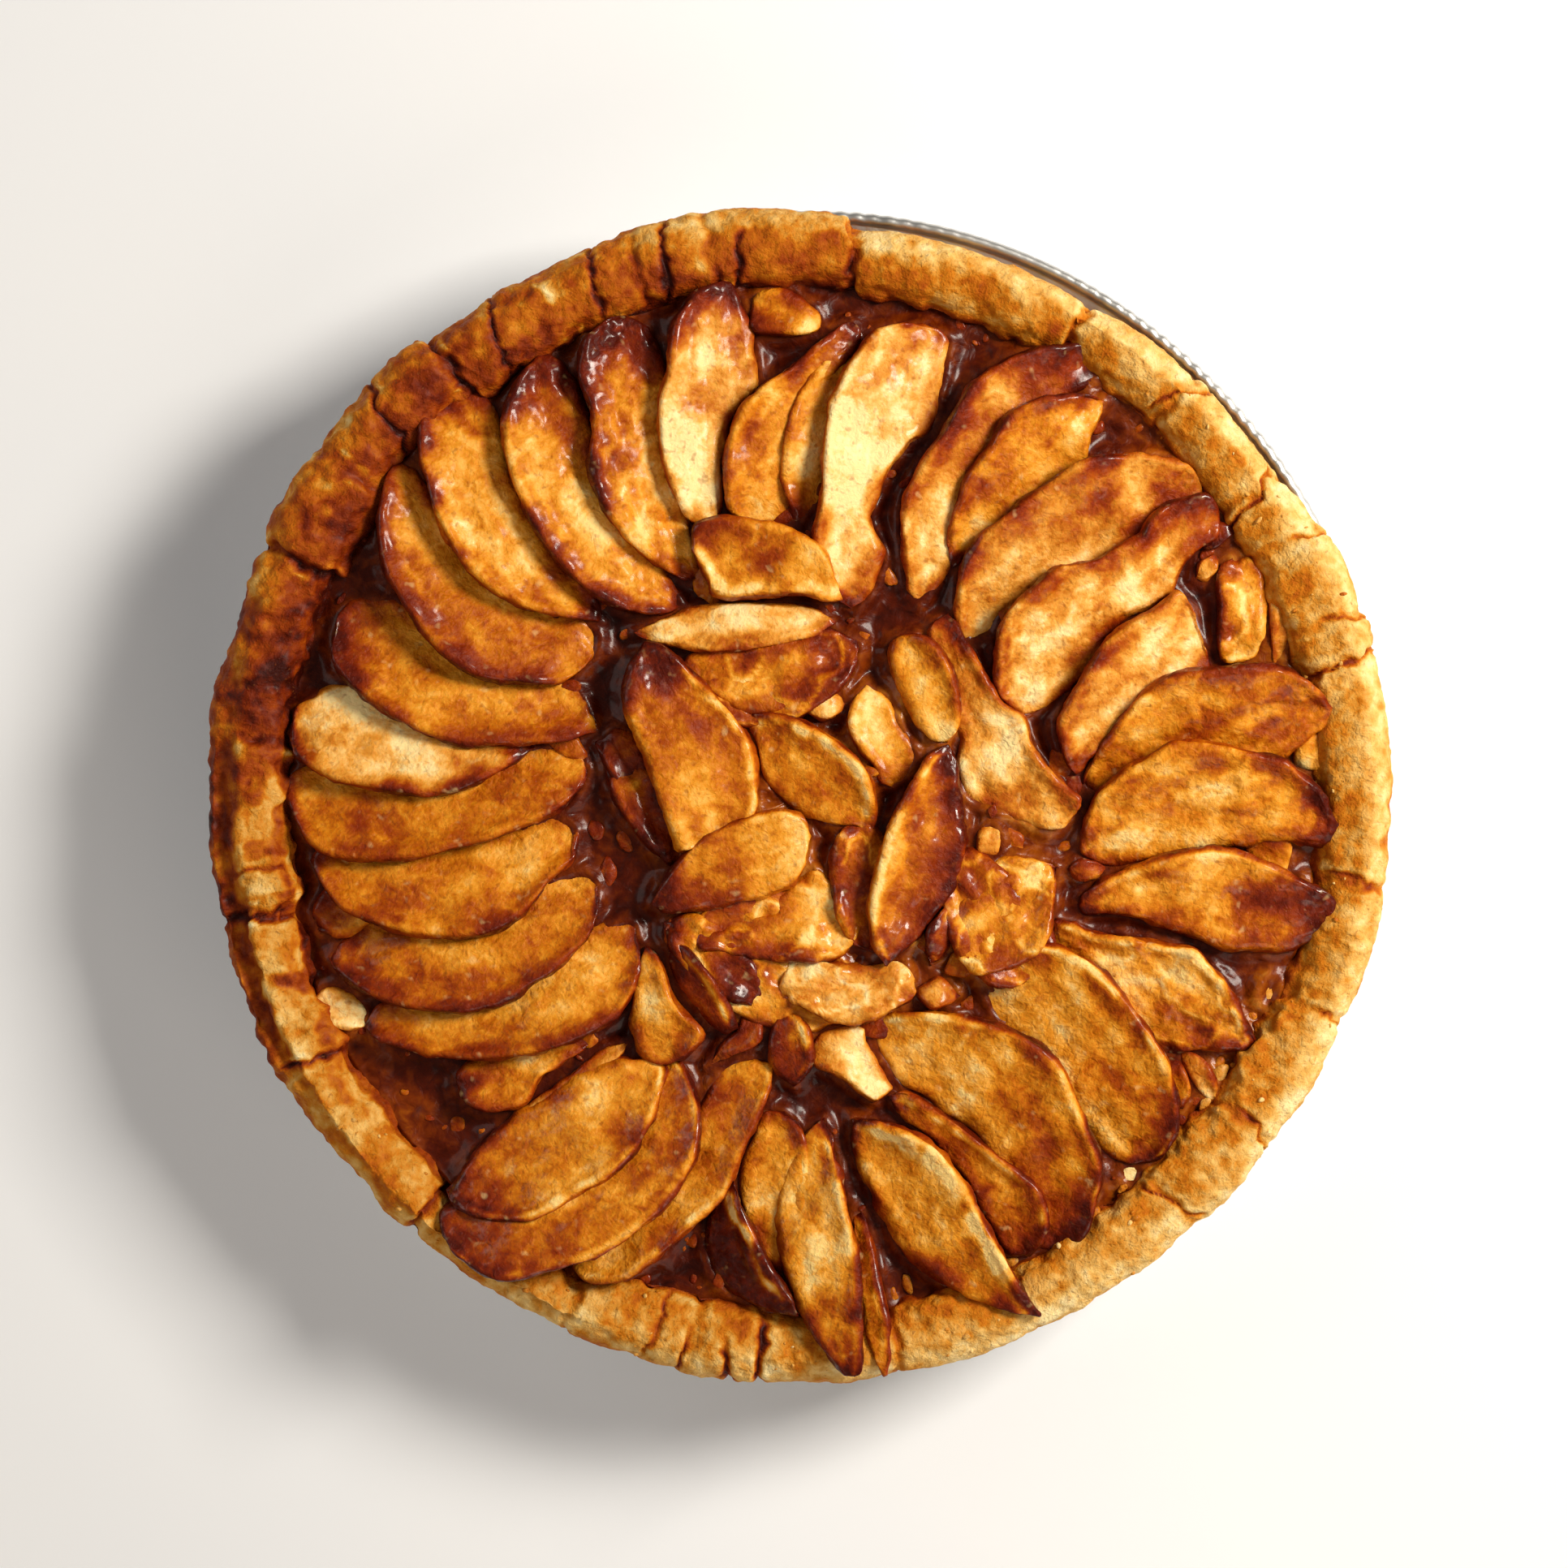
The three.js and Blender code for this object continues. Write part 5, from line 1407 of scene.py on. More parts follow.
    Slice("heap_10", (36.5, -4.5), (36, -12.5), -3, ((34.5, -7), (34, -10.5)), ((39, -6), (38.8, -10.5)),
          PALE, (0.2, 0.2, 0.24), lean=2, lift=0.5, burnt=0),
    Slice("heap_11", (29.8, -30.5), (49.8, -13.3), -11,
          ((34, -34.2), (41, -33.2), (46.5, -30), (49, -24), (49.6, -18)),
          ((29.3, -25), (30.3, -20.3), (34.8, -15.8), (38.1, -11.4), (43, -11.2), (47.7, -12.3)),
          AMBER, (0.46, 0.34, 0.3), lean=6, lift=1.6, wrinkled=0.42, glaze=0.45, burnt=0, band=0.14),
    Slice("heap_12", (-20.5, -25.5), (12, -23.5), -12,
          ((-19.5, -29), (-12.4, -31), (-4, -32), (4, -32), (9.6, -29.5)),
          ((-17, -20), (-10, -18.5), (-4.6, -18), (0.5, -14.4), (3.8, -13.7), (6.4, -16), (10, -17.8)),
          GOLD, (0.56, 0.4, 0.2), lean=6, lift=0.4, wrinkled=0.5, glaze=0.45, burnt=0),
    Slice("heap_13", (-4.2, -37.7), (22.2, -36.5), -6.5,
          ((-2.2, -39.2), (0.8, -40.8), (3.8, -42.3), (6.2, -43.8), (11, -43.8), (15.2, -42.5),
           (19.4, -40.4), (21.8, -38.9)),
          ((-2.2, -31.8), (0.8, -30.5), (5, -31.5), (9.8, -31.8), (14.6, -31.9), (19.4, -31.7),
           (21.9, -34.2)), PALE, (0.32, 0.24, 0.26), lean=5, lift=1.6, wrinkled=0.5, glaze=0.45, burnt=0),
    Slice("heap_14", (28.5, 10), (16.6, -32.2), -6,
          ((24.7, 8.4), (21.7, 4.2), (19.3, 0), (16.9, -5), (15, -10.4), (13.8, -15.8), (12.9, -20.6),
           (13.2, -25.4), (14.6, -29.5)),
          ((30.4, 7), (31, 2.3), (31.7, -2.5), (32.6, -8.5), (32.2, -12), (30.8, -17), (27.5, -21.5),
           (24.2, -26.2), (19.6, -30)),
          DARK, (0.66, 0.48, 0.46), lean=12, lift=3, across=-0.34, burnt=0.14, glaze=0.45, wrinkled=0.24,
          ridge=0.3),
    Slice("heap_15", (2.4, -7.5), (-28.5, -20.5), -9,
          ((0.8, -3.8), (-2.8, -1.9), (-7, -2.4), (-10, -3.1), (-14.8, -5), (-19.8, -8), (-23.5, -12),
           (-26.5, -16)),
          ((1.6, -10.8), (0.9, -13.8), (-1.6, -17.4), (-6.4, -19), (-12.4, -20.6), (-19, -21.5),
           (-25, -22.3)),
          AMBER, (0.16, 0.44, 0.74), lean=4, lift=3.6, burnt=0, burnt_inside=0.16, band=0.06, wrinkled=0.04,
          glaze=0.4, mottled=0.7),
    Slice("heap_16", (-25, -51.2), (-29.4, -28.8), -6.5,
          ((-22, -50), (-19.8, -48), (-18.2, -45.2), (-21.8, -41.4), (-24.2, -37.8), (-26, -33),
           (-27.5, -30.3)), ((-28.5, -51), (-31.8, -48), (-32.6, -42.8), (-32.5, -37.4), (-31.2, -32.4)),
          GOLD, (0.34, 0.18, 0.26), lean=8, lift=1.4, burnt=0.05),
    Slice("heap_17", (-11.6, -44.6), (-23.8, -28), -4,
          ((-12.4, -42), (-14, -38.4), (-16.4, -34.2), (-19.4, -30.6), (-21.5, -28.6)),
          ((-15.4, -45.4), (-20.2, -40), (-24, -34.5), (-25.2, -30.5)),
          DARK, (0.74, 0.72, 0.68), lean=24, lift=1.4, ridge=0.5),
    Slice("heap_18", (-17.8, -52), (-8, -40), -4.5, ((-13, -50), (-9, -48.5), (-6.8, -46)),
          ((-15.5, -48), (-12.4, -44.5), (-11, -41)), GOLD, (0.16, 0.36, 0.44), lean=4, burnt=0),
    Slice("heap_19", (1.6, -48.5), (17.5, -56), -6, ((3, -52.2), (7.4, -53.9), (11.5, -57), (14.6, -58.7)),
          ((3.8, -45.6), (7.5, -44.2), (12.2, -44), (13, -47), (15.4, -51.6)),
          PALE, (0.46, 0.06, 0.02), lean=4, lift=0.8, burnt=0, burnt_inside=0),
)

# Pieces too small, too thin or too deep in the jelly for a node of their own.
SCRAPS = (
    Slice("chunk_middle", (0, 17.6), (9.4, 18.9), -4, ((3.8, 14.6), (7, 15.4)), ((2, 20.8), (6.2, 20.6)),
          PALE, (0.2, 0.08, 0.2), lean=2, lift=1.4, burnt=0),
    Slice("chunk_low", (22.2, -37.3), (31, -38.2), -3, ((25, -40.6), (28, -40.2)),
          ((24.5, -35.5), (27.4, -34.3)), PALE, (0.2, 0.1, 0.2), lean=3, lift=1.4, burnt=0),
    Slice("sliver_standing", (28.8, -20.5), (25.2, -32.5), -2, ((26, -23), (23.8, -28)),
          ((29.6, -24), (28.3, -30)), DARK, (0.5, 0.6, 0.5), lean=20, lift=1.8, ridge=0.5, burnt=0),
    Slice("chunk_dark", (-1, -55.5), (-2.2, -40.8), -5, ((2.6, -52), (3.2, -48), (1.8, -43.5)),
          ((-5, -53), (-6, -48), (-5, -43)),
          DARK, (0.7, 0.58, 0.42), lean=8, lift=0.6, ridge=0.4, wrinkled=0.3),
    Slice("bit_right", (95, -12), (84.8, -7.2), -2, ((95, -8.4), (90.3, -5.5)),
          ((93.2, -14.8), (88, -12.4)), DARK, (0.4, 0.6, 0.66), lean=4, burnt=0),
    Slice("chip_right", (103.6, 12.6), (95.8, 5.5), -3, ((98, 12.6), (95.3, 9)), ((104.3, 8.5), (101, 5)),
          GOLD, (0.4, 0.3, 0.2), lean=3, burnt=0),
    Slice("blob_right", (58.8, -13.6), (51.6, -13.8), -2, ((57, -12), (54, -11.8)),
          ((57, -15.4), (54, -15.8)), PALE, (0.1, 0.08, 0.2), lean=2, lift=0.8, burnt=0),
    Slice("chunk_right", (81.2, 46.4), (76.4, 42), -2, ((79.5, 47.2), (76.8, 45.4)),
          ((81.2, 43.8), (79, 41.8)), PALE, (0.2, 0.1, 0.2), lean=2, burnt=0),
    Slice("strip_low", (80.4, -58.6), (73.2, -48), -1.5, ((80.6, -55), (77.8, -50)),
          ((77.8, -57.6), (74.6, -53)), PALE, (0.14, 0.06, 0.2), lean=14, burnt=0, wrinkled=0.3),
    Slice("strip_olive", (74, -60.5), (70.5, -49.5), -3, ((76, -56), (74, -51)), ((70, -58.5), (68, -53)),
          GOLD, (0.4, 0.36, 0.36), lean=5, wrinkled=0.3),
    Slice("chip_low", (67, -72), (61.4, -73.2), -2, ((65.5, -70.4), (62.5, -71)),
          ((65.5, -74.6), (62.6, -75)), PALE, (0.2, 0.1, 0.2), lean=2, burnt=0, thickness=3.4),
    Slice("chip_low_right", (93, -35.6), (88.6, -40.4), -2, ((90.5, -34.6), (88.3, -37.5)),
          ((93.4, -38), (91.4, -40.8)), PALE, (0.2, 0.1, 0.2), lean=2, burnt=0, thickness=3.4),
    Slice("under_left", (-94, -25), (-78, -15), -5, ((-88, -27), (-82, -23)), ((-93, -19), (-86, -12)),
          GOLD, (0.46, 0.44, 0.36), lean=3),
    Slice("behind_low_left", (-58, -64), (-32.6, -46.8), -6, ((-50, -62), (-42, -56), (-35, -50.5)),
          ((-54.4, -60.6), (-49.5, -57.4), (-45, -53.8), (-41.4, -50.8), (-37, -47.8)),
          PALE, (0.3, 0.14, 0.1), lean=4),
    Slice("syrup_middle", (-38, 8), (-24, -14), -6, ((-36, 0), (-31, -8)),
          ((-30, 6), (-25, 0), (-21.5, -8)), DARK, (0.5, 0.6, 0.66), lean=2, lift=0.8, wrinkled=0.3),
    Slice("fruit_middle_low", (-26, -24), (-8, -40), -6, ((-24, -31), (-17, -38)),
          ((-20, -22), (-12, -27), (-7, -34)), AMBER, (0.55, 0.5, 0.6), lean=2, lift=1.4, wrinkled=0.4),
    Slice("fruit_middle_top", (-24, 21), (12, 30), -7, ((-16, 15), (-6, 13), (4, 17), (10, 23)),
          ((-22, 27), (-10, 32), (2, 34)), AMBER, (0.6, 0.5, 0.62), lean=1, lift=1.7, wrinkled=0.4),
    Slice("fruit_middle", (10, -4), (16, -30), -6, ((6, -10), (6, -20), (9, -28)),
          ((15, -6), (19, -16), (19, -26)), AMBER, (0.5, 0.46, 0.5), lean=1, lift=1.8, wrinkled=0.4),
    Slice("mass_low", (-23, -21), (13, -38), -9, ((-26, -27), (-20, -37), (-8, -44), (4, -45)),
          ((-14, -16), (0, -17), (10, -22), (14, -30)),
          GOLD, (0.5, 0.44, 0.34), lean=1, lift=0.4, wrinkled=0.5, glaze=0.4),
    Slice("strip_right", (93.2, 43), (92, 24), -1, ((90.6, 38), (90.8, 30)), ((94.6, 38), (94.6, 30)),
          PALE, (0.3, 0.16, 0.3), lean=8, wrinkled=0.3),
    Slice("bubble_right", (85, 51.5), (76.5, 49.5), -2, ((82, 49), (79, 48)), ((83, 53), (79.5, 52.6)),
          DARK, (0.5, 0.46, 0.5), lean=2, burnt=0),
    Slice("fruit_right_low", (26, -12), (46, -34), -6, ((27, -20), (30, -30), (38, -37)),
          ((34, -10), (44, -18), (50, -28)), AMBER, (0.55, 0.5, 0.5), lean=1, lift=1.4, wrinkled=0.4),
)


@dataclass
class FruitSlices:
    """All the slices, each drawn between its two edges from one section."""

    filling: Filling
    sink: float = 1.2
    droop: float = 1.0
    spacing: float = 0.62
    nose: float = 0.32
    tuck: float = 2.2
    lip: float = 0.3
    hollow: float = 0.45
    eased_height: float = 39.6
    top_height: float = 41.3
    outline_steps: int = 60
    first_seed: int = 100
    seeds_each: int = 20
    section: Path = (
        (0.0, -0.2),
        (0.012, 0.08),
        (0.05, 0.3),
        (0.14, 0.41),
        (0.32, 0.44),
        (0.6, 0.47),
        (0.84, 0.5),
        (0.925, 0.47),
        (0.965, 0.32),
        (0.985, 0.05),
        (0.99, -0.2),
        (0.96, -0.42),
        (0.87, -0.5),
        (0.5, -0.46),
        (0.12, -0.4),
    )

    def _section(self, count: int) -> Array:
        """Spreads count points evenly round the section, the last one being the first again."""
        curve = rounded(np.array(self.section), 12, closed=True)
        curve = np.concatenate([curve, curve[:1]])
        places = along_share(curve * (3.0, 1.0))
        wanted = np.linspace(0.0, 1.0, count + 1)
        return np.stack([np.interp(wanted, places, curve[:, k]) for k in (0, 1)], axis=1)

    def _grid(self, cut: Slice, seed: int) -> tuple[Array, dict[str, Array]]:
        """Places a slice's points.

        Args:
            cut: The slice.
            seed: Picks its unevenness.

        Returns:
            Points by station and place round the section, and for each one its share along the slice and its
            distance in millimetres from the back edge, the core edge and the nearer end.
        """
        outer, inner = np.array(cut.outer, float), np.array(cut.inner, float)
        length = np.linalg.norm(inner - outer)
        along = (inner - outer) / length
        across = np.array([along[1], -along[0]])
        stations = max(24, int(length * 1.25 / self.spacing))
        turn = np.linspace(0.0, np.pi, stations)
        share = (1.0 - np.cos(turn)) / 2.0
        back, core = cut.edges(share)
        width = np.linalg.norm(back - core, axis=1)
        if cut.tucked:
            core = core + (core - back) * (self.tuck * np.sin(turn) / np.maximum(width, 1.0))[:, None]
            width = np.linalg.norm(back - core, axis=1)
        around = max(28, int(2.4 * width.max() / self.spacing))
        side, level = self._section(around).T[:, None, :]
        share, width = share[:, None], width[:, None]
        plan = core[:, None] + (back - core)[:, None] * side[..., None]
        offset = (plan - outer) @ across
        full = np.clip(np.sin(turn), 0.0, 1.0)[:, None]
        deep = cut.thickness * full**self.nose * np.clip(0.55 + width / 16.0, 0.0, 1.0)
        from_middle = (np.linalg.norm(outer) + np.linalg.norm(inner)) / 2
        bed = self.filling.height(from_middle) - self.sink + cut.lift
        tilt = (offset - cut.low) * np.tan(np.radians(cut.lean)) + cut.rise * (1.0 - share)
        way = np.stack([share * length, 0 * share, 0 * share + seed * 7.3], axis=-1)
        sag = self.droop * (1.0 - full * full) - uneven(way, (0.5, 16.0, seed + 9))
        height = bed + cut.thickness / 2 + tilt - sag + level * deep
        points = np.concatenate([plan, height[..., None]], axis=-1)
        end = np.minimum(share, 1.0 - share) * length
        places = {
            "share": share + 0 * side,
            "to_back": (1.0 - side) * width,
            "to_core": side * width,
            "to_end": end + 0 * side,
        }
        return points, places

    def build_one(self, cut: Slice, seed: int) -> bpy.types.Object:
        """Builds one slice.

        Args:
            cut: The slice.
            seed: Picks its unevenness.

        Returns:
            The piece, with its browning and glaze.
        """
        points, places = self._grid(cut, seed)
        normals = outward(points, grid_normals(points))
        face = step(normals[..., 2], 0.3, 0.8)
        direction = np.append(np.array(cut.inner, float) - np.array(cut.outer, float), 0.0)
        direction /= np.linalg.norm(direction)
        stretched = points - 0.62 * (points @ direction)[..., None] * direction
        lip = self.lip * dent(places["to_back"] - 1.4, 0.8) * step(places["to_end"], 2.0, 6.0)
        hollow = self.hollow * step(places["to_back"], 1.5, 6.0) * step(places["to_core"], 1.0, 4.0)
        wrinkles = uneven(stretched, (1.0, 2.0, seed + 2)) + uneven(points, (0.6, 1.1, seed + 3))
        relief = uneven(points, (0.55, 7.0, seed), (0.32, 3.4, seed + 1)) + 1.5 * cut.wrinkled * wrinkles
        relief = relief + 3.2 * cut.folded() * (0.55 - np.abs(lumps(points, 5.5, seed + 6)))
        rough_edge = (1.0 - face) * uneven(points, (0.5, 3.6, seed + 4), (0.25, 1.4, seed + 5))
        shift = face * (lip - hollow + relief) + rough_edge
        points = points + normals * shift[..., None]
        over = np.maximum(points[..., 2] - self.eased_height, 0.0)
        room = self.top_height - self.eased_height
        points[..., 2] -= over - room * (1.0 - np.exp(-over / room))
        return skin(f"baked_{cut.node}", points, self._fields(cut, points, stretched, face, places, seed))

    @staticmethod
    def _fields(
        cut: Slice, points: Array, stretched: Array, face: Array, places: dict[str, Array], seed: int
    ) -> dict[str, Array]:
        """Works out how brown and how glazed a slice is, with painted shade on its sides and edges and
        painted highlight along its back edge.

        Args:
            cut: The slice.
            points: Its points.
            stretched: The same points drawn together along the slice, for marks that run along it.
            face: How far a point is on the upper face.
            places: Shares and distances from `_grid`.
            seed: Picks its unevenness.

        Returns:
            The fields `browning` and `glaze`.
        """
        share, to_back, to_core, to_end = (places[k] for k in ("share", "to_back", "to_core", "to_end"))
        patches = lumps(points, 6.5, seed + 11)
        mottle = lumps(points, 2.6, seed + 12)
        outer, middle, inner = cut.bakes
        outer_half = lerp(outer, middle, step(share, 0.05, 0.5))
        top = np.where(share < 0.5, outer_half, lerp(middle, inner, step(share, 0.5, 0.95)))
        line = share + 0.09 * patches + 0.05 * mottle
        if cut.burnt:
            top = top + 0.42 * step(line, cut.burnt * 1.5, cut.burnt * 0.2)
        if cut.burnt_inside:
            top = top + 0.3 * step(line, 1 - cut.burnt_inside * 1.5, 1 - cut.burnt_inside * 0.2)
        width = np.maximum(to_back + to_core, 0.1)
        top = top + cut.across * (1.0 - 2.0 * to_back / width)
        # Darker towards the edges: partly baked colour, partly painted shade.
        near = np.minimum(np.minimum(to_back - 1.0, to_core), to_end + 1.0) + 0.9 * patches + 0.5 * mottle
        top = top + cut.band * step(near, 4.2, 0.4) * np.clip(0.85 + 1.1 * patches, 0.2, 1.5)
        blotches = 0.26 * patches + uneven(stretched, (0.2, 2.8, seed + 13))
        top = top + cut.mottled * (blotches + uneven(points, (0.06, 1.2, seed + 14)))
        # The sides and underside are darker than the upper face: painted shade.
        under = np.maximum(top + 0.1, 0.5 + 0.14 * patches)
        browning = lerp(under, top, face)
        # A paler strip along the back edge: partly the dried edge's own colour, partly painted highlight
        # where the raised edge catches the light.
        edge = dent(to_back - 1.3 - 0.5 * cut.ridge_width, 0.7 * cut.ridge_width) * step(to_end, 0.5, 3.0)
        browning = browning - (0.06 + cut.ridge) * edge * np.clip(0.8 + 1.2 * mottle, 0.0, 1.6) * face
        # A darker line right on the back edge: painted shade where the edge turns down, with some real baked
        # colour.
        browning = browning + 0.12 * step(to_back + 0.5 * mottle, 1.5, 0.2)
        folds = step(np.abs(lumps(points, 5.5, seed + 6)), 0.16, 0.02)
        browning = browning - min(1.5 * cut.folded(), 0.3) * folds * face
        glaze = cut.glaze - 0.04 + 0.2 * step(browning, 0.45, 0.7) + 0.2 * patches
        return {"browning": np.clip(browning, 0.0, 1.0), "glaze": np.clip(glaze, 0.0, 0.6)}

    def outlines(self) -> list[Array]:
        """Gives the slices' outlines seen from above, as points about a millimetre apart."""
        shares = np.linspace(0.0, 1.0, self.outline_steps)
        return [np.concatenate(cut.edges(shares)) for cut in (*SLICES, *SCRAPS)]

    def build(self, finishes: dict[Tone, bpy.types.Material]) -> None:
        """Builds and dresses every slice and scrap.

        Args:
            finishes: The fruit's material for each tone.
        """
        for index, cut in enumerate((*SLICES, *SCRAPS)):
            piece = self.build_one(cut, self.first_seed + self.seeds_each * index)
            nodes = (cut.node,) if cut in SLICES else ()
            dress(piece, finishes[cut.tone], cut.tone.value, *nodes)


# ---- Scattered bits ----


@dataclass(frozen=True)
class Scatter:
    """Small lumps of one kind, strewn where a ray from above meets the pieces they lie on.

    Attributes:
        name: The piece's name.
        count: How many lumps there are.
        sizes: Their smallest and largest radius.
        reach: The nearest and farthest that they lie from the middle.
        browning: The least and most that they are baked.
        flatness: Their height as a share of their length.
        seed: Picks where they lie.
        on: How the names of the pieces start that they lie on.
        bearings: The bearings that they lie between.
    """

    name: str
    count: int
    sizes: tuple[float, float]
    reach: tuple[float, float]
    browning: tuple[float, float]
    flatness: float
    seed: int
    on: str
    bearings: tuple[float, float] = (0.0, 360.0)

    def _spot(self, random: np.random.Generator) -> tuple[Array, float] | None:
        """Tries one place.

        Args:
            random: The numbers to draw from.

        Returns:
            The place in metres and the lump's size in millimetres, or nothing where another piece lies.
        """
        radius = np.sqrt(random.uniform(self.reach[0] ** 2, self.reach[1] ** 2))
        angle = np.radians(random.uniform(*self.bearings))
        size = lerp(*self.sizes, random.random() ** 2)
        above = (radius * np.sin(angle) * MM, radius * np.cos(angle) * MM, 0.1)
        depsgraph = bpy.context.evaluated_depsgraph_get()
        met, place, _, _, piece, _ = bpy.context.scene.ray_cast(depsgraph, above, (0.0, 0.0, -1.0))
        if not met or not piece.name.startswith(self.on):
            return None
        return np.array(place), size

    def _lump(self, place: Array, size: float, random: np.random.Generator) -> bpy.types.Object:
        """Builds one lump.

        Args:
            place: Its middle in metres.
            size: Its radius in millimetres.
            random: The numbers to draw from.

        Returns:
            The lump, with its browning and glaze.
        """
        bpy.ops.object.select_all(action="DESELECT")
        bpy.ops.mesh.primitive_ico_sphere_add(subdivisions=3 if size > 1.0 else 2, radius=1.0)
        piece = bpy.context.object
        ball = mesh_points(piece).astype(float)
        seed = int(random.integers(1 << 20))
        ball = ball * (1.0 + uneven(ball, (0.4, 0.9, seed)))[:, None]
        angle = random.uniform(0.0, 2 * np.pi)
        turned = np.array([[np.cos(angle), np.sin(angle)], [-np.sin(angle), np.cos(angle)]])
        shaped = ball * (1.0, random.uniform(0.45, 0.9), self.flatness)
        shaped[:, :2] = shaped[:, :2] @ turned
        browning = random.uniform(*self.browning)
        blotches = uneven(shaped * size, (0.12, 1.5, seed + 1))
        carry(piece, place + shaped * size * MM, {"browning": browning + blotches, "glaze": 0.2 + blotches})
        return piece

    def build(self) -> bpy.types.Object:
        """Builds all the lumps as one piece."""
        random = np.random.default_rng(self.seed)
        spots = []
        while len(spots) < self.count:
            spot = self._spot(random)
            if spot is not None:
                spots.append(spot)
        pieces = [self._lump(place, size, random) for place, size in spots]
        bpy.ops.object.select_all(action="DESELECT")
        for piece in pieces:
            piece.select_set(True)
        bpy.context.view_layer.objects.active = pieces[0]
        bpy.ops.object.join()
        bpy.ops.object.shade_smooth()
        joined = bpy.context.object
        joined.name = joined.data.name = self.name
        return joined


STEWED_BITS = Scatter(
    "stewed_bits",
    count=26,
    sizes=(1.2, 4.2),
    reach=(0.0, 56.0),
    browning=(0.5, 0.8),
    flatness=0.24,
    seed=5,
    on="jelly",
)
SUNK_BITS = Scatter(
    "sunk_bits",
    count=36,
    sizes=(0.5, 1.9),
    reach=(58.0, 98.0),
    browning=(0.5, 0.85),
    flatness=0.3,
    seed=6,
    on="jelly",
)
PASTRY_CRUMBS = Scatter(
    "pastry_crumbs",
    count=70,
    sizes=(0.25, 0.8),
    reach=(96.0, 113.0),
    browning=(0.15, 0.45),
    flatness=0.7,
    seed=7,
    on="pastry",
    bearings=(40.0, 235.0),
)
PASTRY_FLAKES = Scatter(
    "pastry_flakes",
    count=9,
    sizes=(1.1, 2.8),
    reach=(96.0, 101.0),
    browning=(0.28, 0.46),
    flatness=0.3,
    seed=8,
    on="jelly",
    bearings=(112.0, 170.0),
)


# ---- Stage ----


@dataclass(frozen=True)
class Lamp:
    """One square light: its place and width in metres, its power in watts and its colour."""

    name: str
    place: tuple[float, float, float]
    width: float
    power: float
    colour: Colour

    def hang(self) -> None:
        """Hangs the light, turned to the pie."""
        light = bpy.data.lights.new(self.name, "AREA")
        light.size = self.width
        light.energy = self.power
        light.color = self.colour
        lamp = bpy.data.objects.new(self.name, light)
        direction = np.array(self.place) / np.linalg.norm(self.place)
        lamp.location = self.place
        bearing = np.arctan2(direction[1], direction[0]) + np.pi / 2
        lamp.rotation_euler = (np.arccos(direction[2]), 0.0, bearing)
        bpy.context.scene.collection.objects.link(lamp)


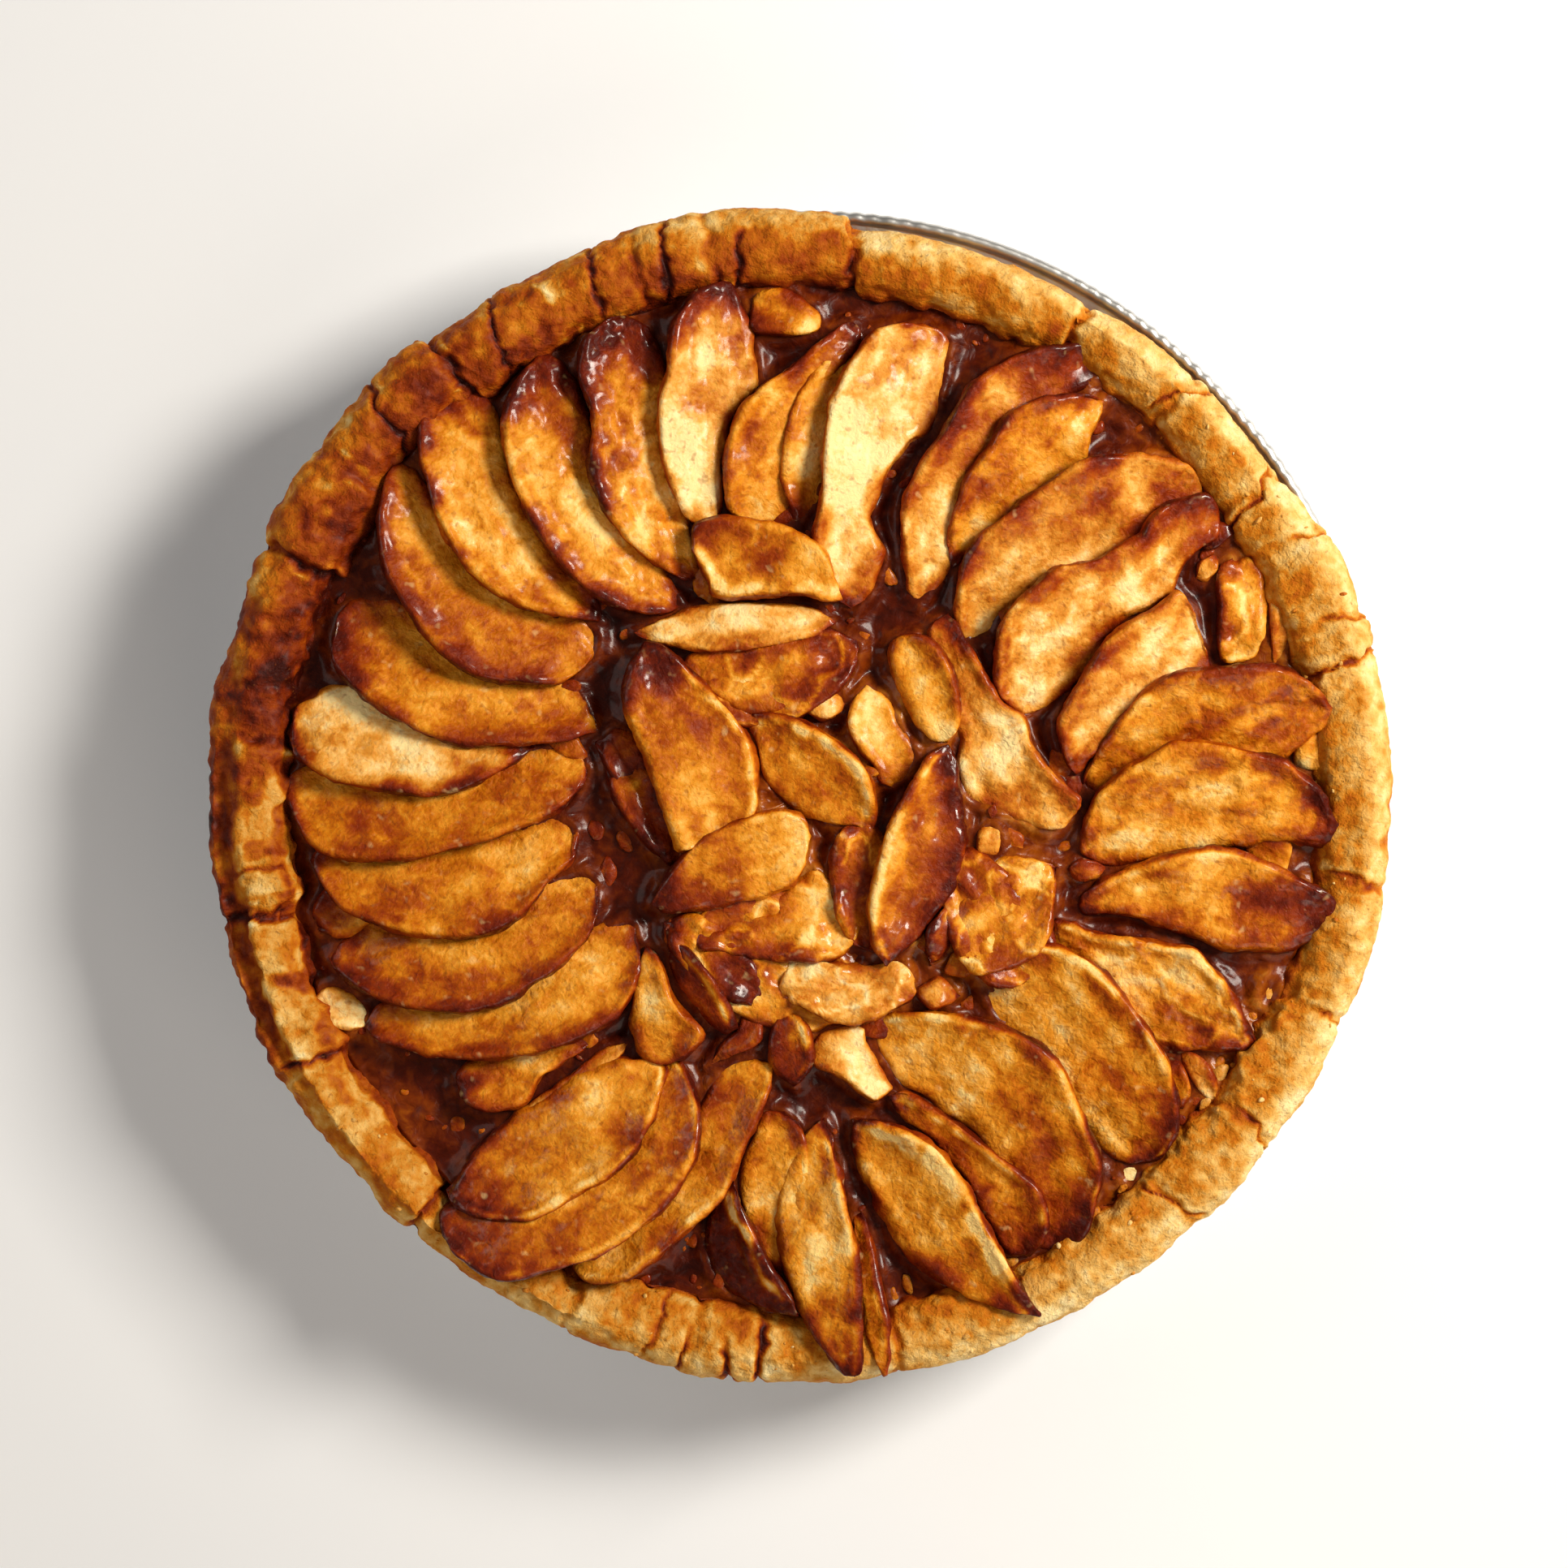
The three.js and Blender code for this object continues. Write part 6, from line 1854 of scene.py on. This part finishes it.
@dataclass
class Studio:
    """A pale floor, soft light from the upper right, and a camera straight above."""

    frame_pixels: float = 1932.0
    pixels_per_mm: float = 6.41
    pie_middle: tuple[float, float] = (985.0, 983.0)
    rim_height: float = 36.0
    camera_height: float = 900.0
    sensor: float = 36.0
    floor_size: float = 3.0
    floor_stops: Ramp = ((0.0, shade(246, 249, 254)), (1.0, shade(250, 252, 255)))
    room_light: float = 0.14
    room_tint: Colour = shade(255, 246, 236)
    lamps: tuple[Lamp, ...] = (
        Lamp("key light", (0.6, 0.28, 0.6), 0.28, 9.4, shade(255, 247, 234)),
        Lamp("left fill", (-0.8, 0.25, 0.55), 0.7, 2.0, shade(255, 250, 244)),
        Lamp("low fill", (0.4, -0.8, 0.6), 0.7, 2.8, shade(255, 242, 226)),
    )

    def build(self) -> None:
        """Builds the floor, the lights and the camera."""
        self._floor()
        for lamp in self.lamps:
            lamp.hang()
        world = bpy.data.worlds.new("soft room")
        world.use_nodes = True
        background = world.node_tree.nodes["Background"]
        background.inputs["Color"].default_value = (*self.room_tint, 1.0)
        background.inputs["Strength"].default_value = self.room_light
        bpy.context.scene.world = world
        bpy.context.scene.view_settings.view_transform = "Standard"
        self._camera()

    def _floor(self) -> None:
        """Lays the floor."""
        bpy.ops.object.select_all(action="DESELECT")
        bpy.ops.mesh.primitive_plane_add(size=self.floor_size)
        floor = bpy.context.object
        floor.name = "floor"
        paint = Paint("pale floor", Roughness=0.6)
        tint = paint.ramp(0.5 + paint.mottle(60.0), self.floor_stops)
        floor.data.materials.append(paint.feed(Base_Color=tint))

    def _camera(self) -> None:
        """Puts the camera straight above, framed as the photograph is."""
        width = self.frame_pixels / self.pixels_per_mm
        camera = bpy.data.cameras.new("camera")
        camera.sensor_width = self.sensor
        camera.lens = self.sensor * (self.camera_height - self.rim_height) / width
        holder = bpy.data.objects.new("camera", camera)
        middle = self.frame_pixels / 2
        holder.location = (
            -(self.pie_middle[0] - middle) / self.pixels_per_mm * MM,
            (self.pie_middle[1] - middle) / self.pixels_per_mm * MM,
            self.camera_height * MM,
        )
        bpy.context.scene.collection.objects.link(holder)
        bpy.context.scene.camera = holder


# ---- Whole pie ----


def fruit_finishes() -> dict[Tone, bpy.types.Material]:
    """Makes the fruit's material for each tone."""
    finishes = {}
    for tone in Tone:
        stops = PALE_FRUIT if tone is PALE else WARM_FRUIT
        finishes[tone] = BakedFruit(f"baked fruit {tone.name.lower()}", stops).material()
    return finishes


def main() -> None:
    """Builds the tin, the pastry, the filling, the slices and scraps, the scattered bits and the stage."""
    logging.basicConfig(level=logging.INFO, format="%(name)s: %(message)s")
    tin = FoilTin()
    dress(tin.build(), ThinFoil().material(), "foil", "tin")
    dress(Pastry(tin).build(), BakedPastry().material(), "pastry", "crust")
    filling = Filling()
    slices = FruitSlices(filling)
    dress(filling.build(slices.outlines()), FruitJelly().material(), "jelly", "filling")
    finishes = fruit_finishes()
    slices.build(finishes)
    dress(STEWED_BITS.build(), finishes[AMBER], AMBER.value)
    dress(SUNK_BITS.build(), finishes[GOLD], GOLD.value)
    dress(PASTRY_CRUMBS.build(), BakedPastry("pastry crumb").material(), "pastry")
    dress(PASTRY_FLAKES.build(), BakedPastry("pastry flake").material(), "pastry")
    Studio().build()


if __name__ == "__main__":
    main()
